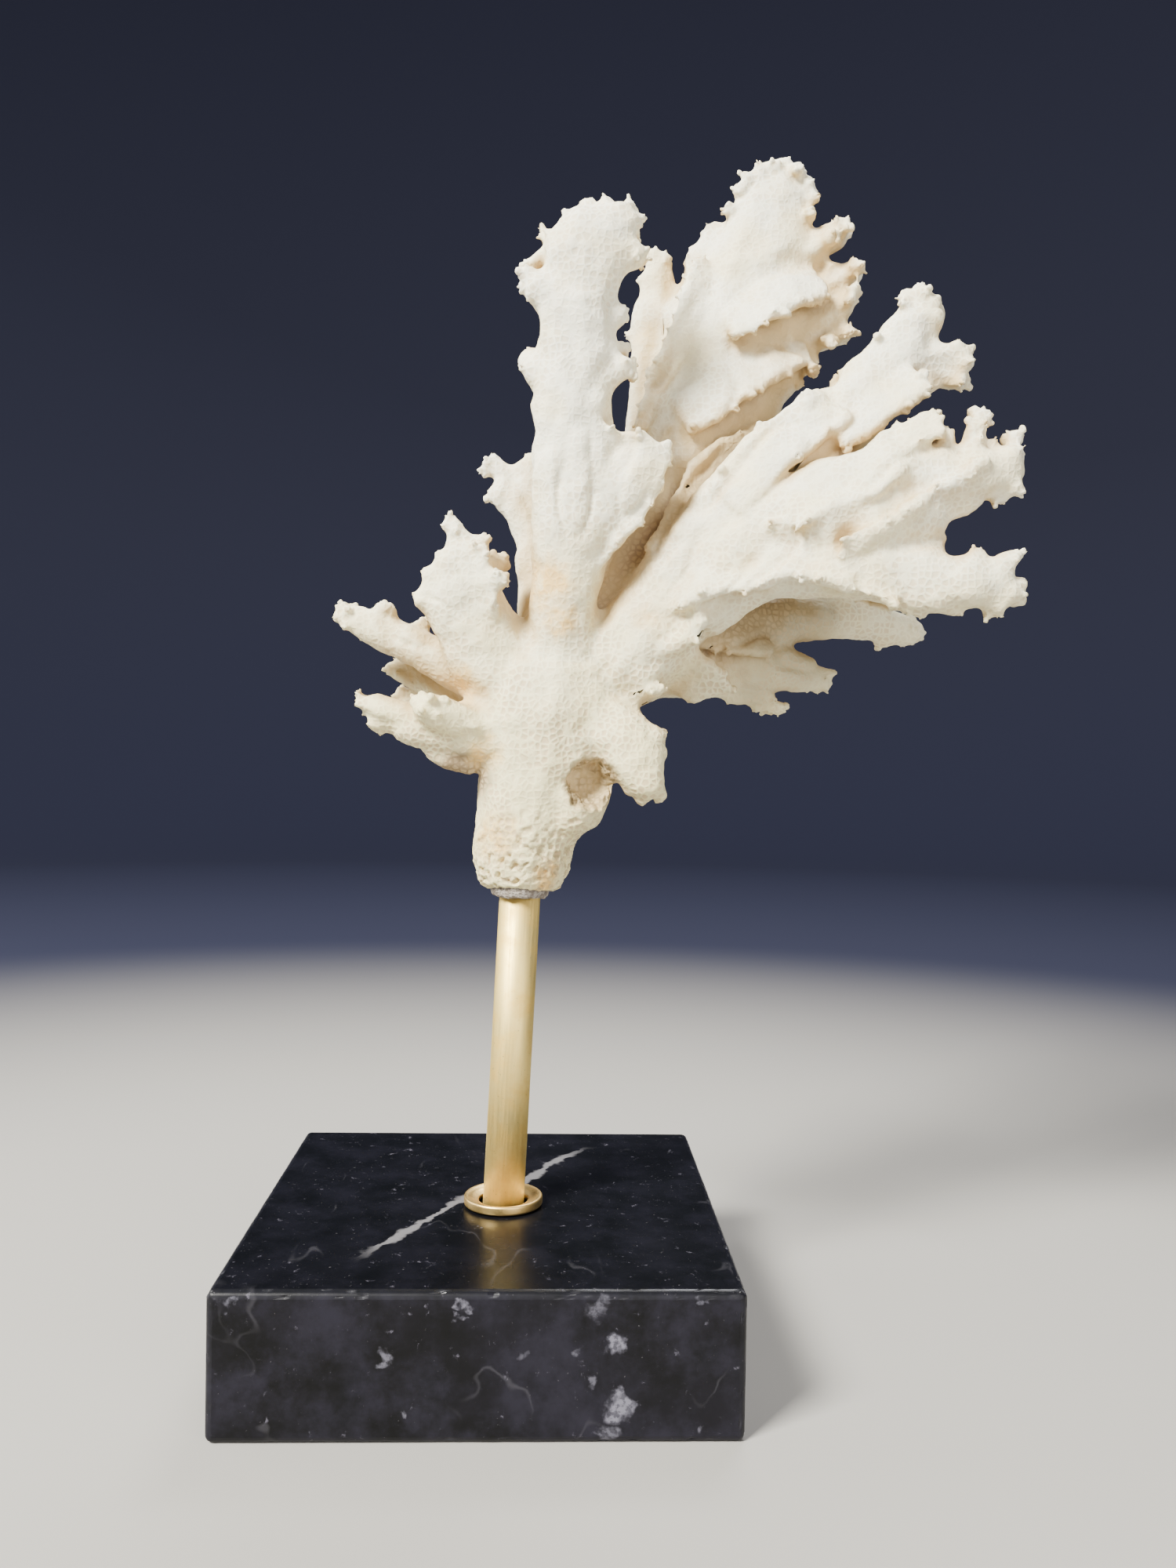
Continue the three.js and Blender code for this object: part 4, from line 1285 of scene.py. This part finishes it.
STEM_FOOT = Vector((3.1, -4.0, BLOCK[2])) * MM
STEM_LEAN = math.radians(2.2)
STEM_TURN = Euler((0.0, STEM_LEAN, 0.0)).to_matrix().to_4x4()
STEM_RADIUS = 4.5 * MM
IN_BLOCK = 18.0 * MM
IN_CORAL = 14.0 * MM
SHOWING = 69.0 * MM
HOLE_ROOM = 0.3 * MM
ABOVE = 5.0 * MM  # the drill stands this far out of the block


def on_stem(low, high):
    """A matrix that puts a shape, centred on the origin, between two places on the stem."""
    return Matrix.Translation(STEM_FOOT) @ STEM_TURN @ Matrix.Translation((0, 0, (low + high) / 2))


def rod(radius, low, high, sides):
    """A closed cylinder on the stem's axis, as a bmesh."""
    shape = bmesh.new()
    sizes = {"radius1": radius, "radius2": radius, "depth": high - low}
    bmesh.ops.create_cone(shape, cap_ends=True, segments=sides, matrix=on_stem(low, high), **sizes)
    return shape


drill_shape = rod(STEM_RADIUS + HOLE_ROOM, -IN_BLOCK - HOLE_ROOM, ABOVE, 64)
drill = new_piece("drill", mesh_from(drill_shape, "drill"))
cut = block.modifiers.new("hole", "BOOLEAN")
cut.object = drill
cut.operation = "DIFFERENCE"
cut.solver = "EXACT"
bake_modifiers(block)
bpy.data.objects.remove(drill)
finished_piece(block, "marble_block")

# %% [markdown]
# ## The brass stem
#
# The stem is a length of brass rod with a brushed face, leaning a little to the right. It is a
# true cylinder, so it is made as one, with enough sides to look round and a small chamfer at each
# end. Its finish is drawn lengthwise: noise stretched thirty times along the rod gives the fine
# lines of the drawing die, and a second, softer noise gives the dull spots of handling.
#
# %% Turn the stem
STEM_SIDES = 96
CHAMFER = 0.4 * MM
shape = rod(STEM_RADIUS, -IN_BLOCK, SHOWING + IN_CORAL, STEM_SIDES)
ends = [edge for edge in shape.edges if len({len(face.verts) for face in edge.link_faces}) > 1]
bmesh.ops.bevel(shape, geom=ends, offset=CHAMFER, segments=2, affect="EDGES")
stem_mesh = mesh_from(shape, "brass_stem")
for face in stem_mesh.polygons:
    face.use_smooth = len(face.vertices) == 4
stem = new_piece("brass_stem_brushed", stem_mesh)


def metal_material(name, bright, dull, roughness, lean, stretch):
    """Brushed metal, with streaks along an axis that leans from the upright."""
    made, tree, shader, place = start_material(name)
    upright = {"Vector": place, "Rotation": (0.0, -lean, 0.0)}
    drawn = {"Vector": node(tree, "ShaderNodeMapping", upright).outputs[0], "Scale": (1.0, 1.0, stretch)}
    streak = noise(tree, node(tree, "ShaderNodeMapping", drawn).outputs[0], 3.2, 3.0, 0.6)
    handling = noise(tree, place, 0.22, 4.0, 0.6)
    speck = eased(tree, noise(tree, place, 1.6, 2.0), 0.69, 0.76)
    layers = [
        (eased(tree, handling, 0.38, 0.7), 0.8, dull),
        (eased(tree, streak, 0.5, 0.75), 0.22, dull),
        (speck, 0.5, tuple(c * 0.35 for c in dull)),
    ]
    colour = layered(tree, bright, layers)
    rough = maths(tree, "ADD", eased(tree, streak, 0.3, 0.7, 0.0, 0.12), roughness)
    rough = maths(tree, "ADD", rough, eased(tree, handling, 0.4, 0.7, 0.0, 0.08))
    normal = bumped(tree, streak, 0.012 * MM)
    set_shader(tree, shader, Base_Color=colour, Roughness=rough, Normal=normal, Metallic=1.0)
    return made


BRASS_BRIGHT = (0.95, 0.75, 0.28)
BRASS_DULL = (0.85, 0.61, 0.18)
brass = metal_material("Brushed brass", BRASS_BRIGHT, BRASS_DULL, 0.5, STEM_LEAN, 0.03)
stem.data.materials.append(brass)
finished_piece(stem, "brass_stem")

# %% [markdown]
# ## The collar
#
# A turned flange lies on the marble round the stem and hides the edge of the hole. On a lathe it
# would be cut from bar by following a profile, and Spin does just that with a row of points. The
# rim is rounded and the top is dished towards the hole, which catches the light as a bright ring.
#
# %% Spin the collar
COLLAR_RADIUS = 8.65
COLLAR_HOLE = 5.4
COLLAR_HEIGHT = 2.0
COLLAR_LIFT = 0.3  # the hair of space that the CAD leaves under it
RIM_ROUND = 0.5
DISHED_TOP = [(7.6, 1.86), (7.2, 1.58), (6.8, 1.36), (6.3, 1.2), (5.8, 1.08)]
ARC_STEPS = 5


def quarter_arc(x, z, first_angle):
    """Points of a quarter circle round (x, z), counter-clockwise."""
    for i in range(ARC_STEPS + 1):
        angle = math.radians(first_angle + 90 * i / ARC_STEPS)
        yield (x + RIM_ROUND * math.cos(angle), z + RIM_ROUND * math.sin(angle))


def spun(outline, steps, closed=True):
    """A bmesh spun round the upright axis, from radius and height pairs in metres."""
    shape = bmesh.new()
    ring = [shape.verts.new((r, 0.0, z)) for r, z in outline]
    following = ring[1:] + ring[:1] if closed else ring[1:]
    rows = [shape.edges.new(pair) for pair in zip(ring, following)]
    turn = {"axis": (0, 0, 1), "cent": (0, 0, 0), "steps": steps, "angle": 2 * math.pi}
    bmesh.ops.spin(shape, geom=ring + rows, **turn)
    bmesh.ops.remove_doubles(shape, verts=shape.verts, dist=0.01 * MM)
    bmesh.ops.recalc_face_normals(shape, faces=shape.faces)
    return shape


inner_rim = COLLAR_RADIUS - RIM_ROUND
profile = [(COLLAR_HOLE, 0.12), (COLLAR_HOLE + 0.12, 0.0)]
profile += quarter_arc(inner_rim, RIM_ROUND, -90)
profile += quarter_arc(inner_rim, COLLAR_HEIGHT - RIM_ROUND, 0)
profile += DISHED_TOP
profile += [(COLLAR_HOLE + 0.12, 1.0), (COLLAR_HOLE, 0.88)]
shape = spun([(r * MM, z * MM) for r, z in profile], 96)
foot = STEM_FOOT + Vector((0, 0, COLLAR_LIFT * MM))
bmesh.ops.translate(shape, verts=shape.verts, vec=foot)
collar_mesh = mesh_from(shape, "brass_collar")
collar_mesh.shade_smooth()
collar = new_piece("brass_collar_turned", collar_mesh)
COLLAR_BRIGHT = (0.95, 0.68, 0.27)
COLLAR_DULL = (0.75, 0.5, 0.18)
bronze = metal_material("Warm brass collar", COLLAR_BRIGHT, COLLAR_DULL, 0.34, 0.0, 1.0)
collar.data.materials.append(bronze)
finished_piece(collar, "brass_collar")

# %% [markdown]
# ## The glue
#
# Where the stem enters the coral, the drilled hole was filled with a grey-brown paste that has
# crumbled at its edge. It is an irregular thing, so it starts as a plain ring, is remeshed into
# fine even quads, and is then torn up by noise in a short tree that also drops a few crumbs on it.
#
# %% Squeeze out the glue
GLUE_LOW = SHOWING - 1.9 * MM
GLUE_OUTLINE = [(4.4, 1.6), (5.0, 1.2), (5.7, 1.1), (6.2, 1.6), (6.4, 2.4), (6.4, 3.9), (4.4, 3.9)]
shape = spun([(r * MM, z * MM) for r, z in GLUE_OUTLINE], 48)
bmesh.ops.transform(shape, matrix=on_stem(GLUE_LOW, GLUE_LOW), verts=shape.verts)
glue = new_piece("glue_bead_crumbled", mesh_from(shape, "glue_bead"))
remesh_and_soften(glue, 0.28 * MM, 2)


def glue_material():
    """Dry paste, grey and brown in patches, and darker in its small pits."""
    made, tree, shader, place = start_material("Crumbled glue")
    patch = noise(tree, place, 0.55, 4.0, 0.6)
    pit, grain = cups_at(tree, place, 0.7)
    colour = blend(tree, eased(tree, patch, 0.38, 0.62), (0.2, 0.165, 0.13), (0.42, 0.38, 0.33))
    colour = blend(tree, times(tree, pit, 0.5), colour, (0.13, 0.1, 0.08))
    relief = maths(tree, "SUBTRACT", grain, pit)
    rough = eased(tree, patch, 0.3, 0.7, 0.7, 0.92)
    set_shader(tree, shader, Base_Color=colour, Roughness=rough, Normal=bumped(tree, relief, 0.1 * MM))
    return made


paste = glue_material()
TORN_SIZES = {"Tear": 0.8 * MM, "Crumb": 0.42 * MM, "Seed": 5}
torn, given = geometry_tree("Torn glue", **TORN_SIZES)
position, outwards = place_and_normal(torn)
glue_mm = scaled(torn, position, 1 / MM)
pull = centred_noise(torn, glue_mm, 0.42, 5.0, given["Tear"], 0.62)
ragged = shifted(torn, given["Geometry"], scaled(torn, outwards, pull))
crumbs = node(
    torn,
    "GeometryNodeDistributePointsOnFaces",
    {"Mesh": ragged, "Distance Min": 1.9 * MM, "Density Max": 1.5e5, "Seed": given["Seed"]},
    distribute_method="POISSON",
)
sizes = {"Min": 0.2 * MM, "Max": given["Crumb"], "Seed": 0}
crumb_size = first(node(torn, "FunctionNodeRandomValue", sizes, data_type="FLOAT"))
crumb = node(torn, "GeometryNodeMeshIcoSphere", {"Radius": 1.0, "Subdivisions": 2}).outputs[0]
placing = {"Points": crumbs.outputs["Points"], "Instance": crumb, "Scale": crumb_size}
dropped = node(torn, "GeometryNodeInstanceOnPoints", placing).outputs[0]
close_tree(torn, joined(torn, dropped, ragged), paste)
run_tree(glue, torn, **TORN_SIZES)
remesh_and_soften(glue, 0.24 * MM, 1)
glue.data.materials.clear()
glue.data.materials.append(paste)
finished_piece(glue, "glue_bead")

# %% [markdown]
# ## The stage
#
# A pale floor, a plain wall all the way round and a few large soft lights. White coral and black
# marble are hard to show together: on a white wall the coral melts away, and on a black one the
# block does. So the floor is pale where the block stands and fades out into a slate wall, a fall-off
# painted on like the edge of a pool of light, which leaves both outlines clear from every side.
#
# %% Floor and wall
PALE_FLOOR = (0.36, 0.345, 0.32)
SLATE_WALL = (0.021, 0.023, 0.046)


def stage_material():
    """Pale near the middle of the floor, fading like a painted pool of light to slate further out and up
    the wall.
    """
    made, tree, shader, place = start_material("Studio sweep")
    level = vector_maths(tree, "MULTIPLY", place, (1.0, 1.0, 0.0))
    out = vector_maths(tree, "LENGTH", level)
    # A painted pool of light: pale in the middle, fading to slate.
    colour = blend(tree, eased(tree, out, 150.0, 620.0), PALE_FLOOR, SLATE_WALL)
    set_shader(tree, shader, Base_Color=colour, Roughness=0.75, Specular_IOR_Level=0.2)
    return made


WALL_RADIUS = 1.9
WALL_HEIGHT = 2.4
SWEEP = 0.6  # radius of the curve from floor to wall
sweep_profile = [(0.0, 0.0), (0.3, 0.0), (0.8, 0.0), (WALL_RADIUS - SWEEP, 0.0)]
for i in range(1, 13):
    angle = math.radians(90 * i / 12)
    out = WALL_RADIUS - SWEEP + SWEEP * math.sin(angle)
    sweep_profile.append((out, SWEEP - SWEEP * math.cos(angle)))
sweep_profile.append((WALL_RADIUS, WALL_HEIGHT))
stage_mesh = mesh_from(spun(sweep_profile, 96, closed=False), "studio")
stage_mesh.shade_smooth()
studio = new_piece("studio_sweep", stage_mesh)
print("Stage, across and high, in metres:", 2 * WALL_RADIUS, WALL_HEIGHT)
studio.data.materials.append(stage_material())
studio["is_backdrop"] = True

# %% [markdown]
# A warm key light from high on the left models the knobs, and a broad fill keeps the shadows soft.
# A light from behind parts the coral from the wall, and a weak one on the left lifts its edge.
#
# %% Lights and world
AIM = Vector((0.03, 0.0, 0.16))


def soft_light(name, place, size, power, colour=(1.0, 1.0, 1.0)):
    """A large square lamp that faces the coral."""
    data = bpy.data.lights.new(name, "AREA")
    data.shape = "SQUARE"
    data.size = size
    data.energy = power
    data.color = colour
    lamp = bpy.data.objects.new(name, data)
    lamp.location = place
    lamp.rotation_euler = (AIM - Vector(place)).to_track_quat("-Z", "Y").to_euler()
    bpy.context.scene.collection.objects.link(lamp)
    print(name, "light:", power, "W")


soft_light("key", (-0.7, -0.7, 1.0), 0.4, 76.0, (1.0, 0.985, 0.92))
soft_light("fill", (0.7, -1.1, 0.45), 0.9, 14.0, (1.0, 0.98, 0.96))
soft_light("back", (0.3, 0.75, 1.35), 0.5, 18.0, (0.96, 0.97, 1.0))
soft_light("left", (-1.1, 0.35, 0.5), 0.7, 6.0)
world = bpy.data.worlds.new("studio air")
world.use_nodes = True
sky = world.node_tree.nodes["Background"]
sky.inputs["Color"].default_value = (0.95, 0.93, 0.9, 1.0)
sky.inputs["Strength"].default_value = 0.35
bpy.context.scene.world = world

# %% [markdown]
# The camera looks at the object a little from below the middle of the coral, almost level, with a
# short lens from close by, which is why the block looks wide in front and the top of it shows.
#
# %% Camera
camera_data = bpy.data.cameras.new("camera")
camera_data.lens = 28.78  # millimetres, on a sensor 36 mm wide
camera_data.sensor_width = 36.0
camera = bpy.data.objects.new("camera", camera_data)
camera.location = (0.0101, -0.2798, 0.1264)
heading = Matrix.Rotation(math.radians(-2.12), 4, "Z")
nod = Matrix.Rotation(math.radians(90.0 - 1.01), 4, "X")
roll = Matrix.Rotation(math.radians(0.95), 4, "Z")
camera.rotation_euler = (heading @ nod @ roll).to_euler()
bpy.context.scene.collection.objects.link(camera)
bpy.context.scene.camera = camera
print("Lens:", camera_data.lens, "mm")

# %% [markdown]
# Last come the two boxes, of the CAD part and of what is seen. They have to agree, because looks
# never change the size of a part.
#
# %% Sizes and the end
low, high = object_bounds()
sizes = {"cad": [list(cad_low), list(cad_high)], "visual": [list(low), list(high)]}
print("CAD box, mm:", [round(v / MM, 1) for v in (*cad_low, *cad_high)])
print("Visual box, mm:", [round(v / MM, 1) for v in (*low, *high)])
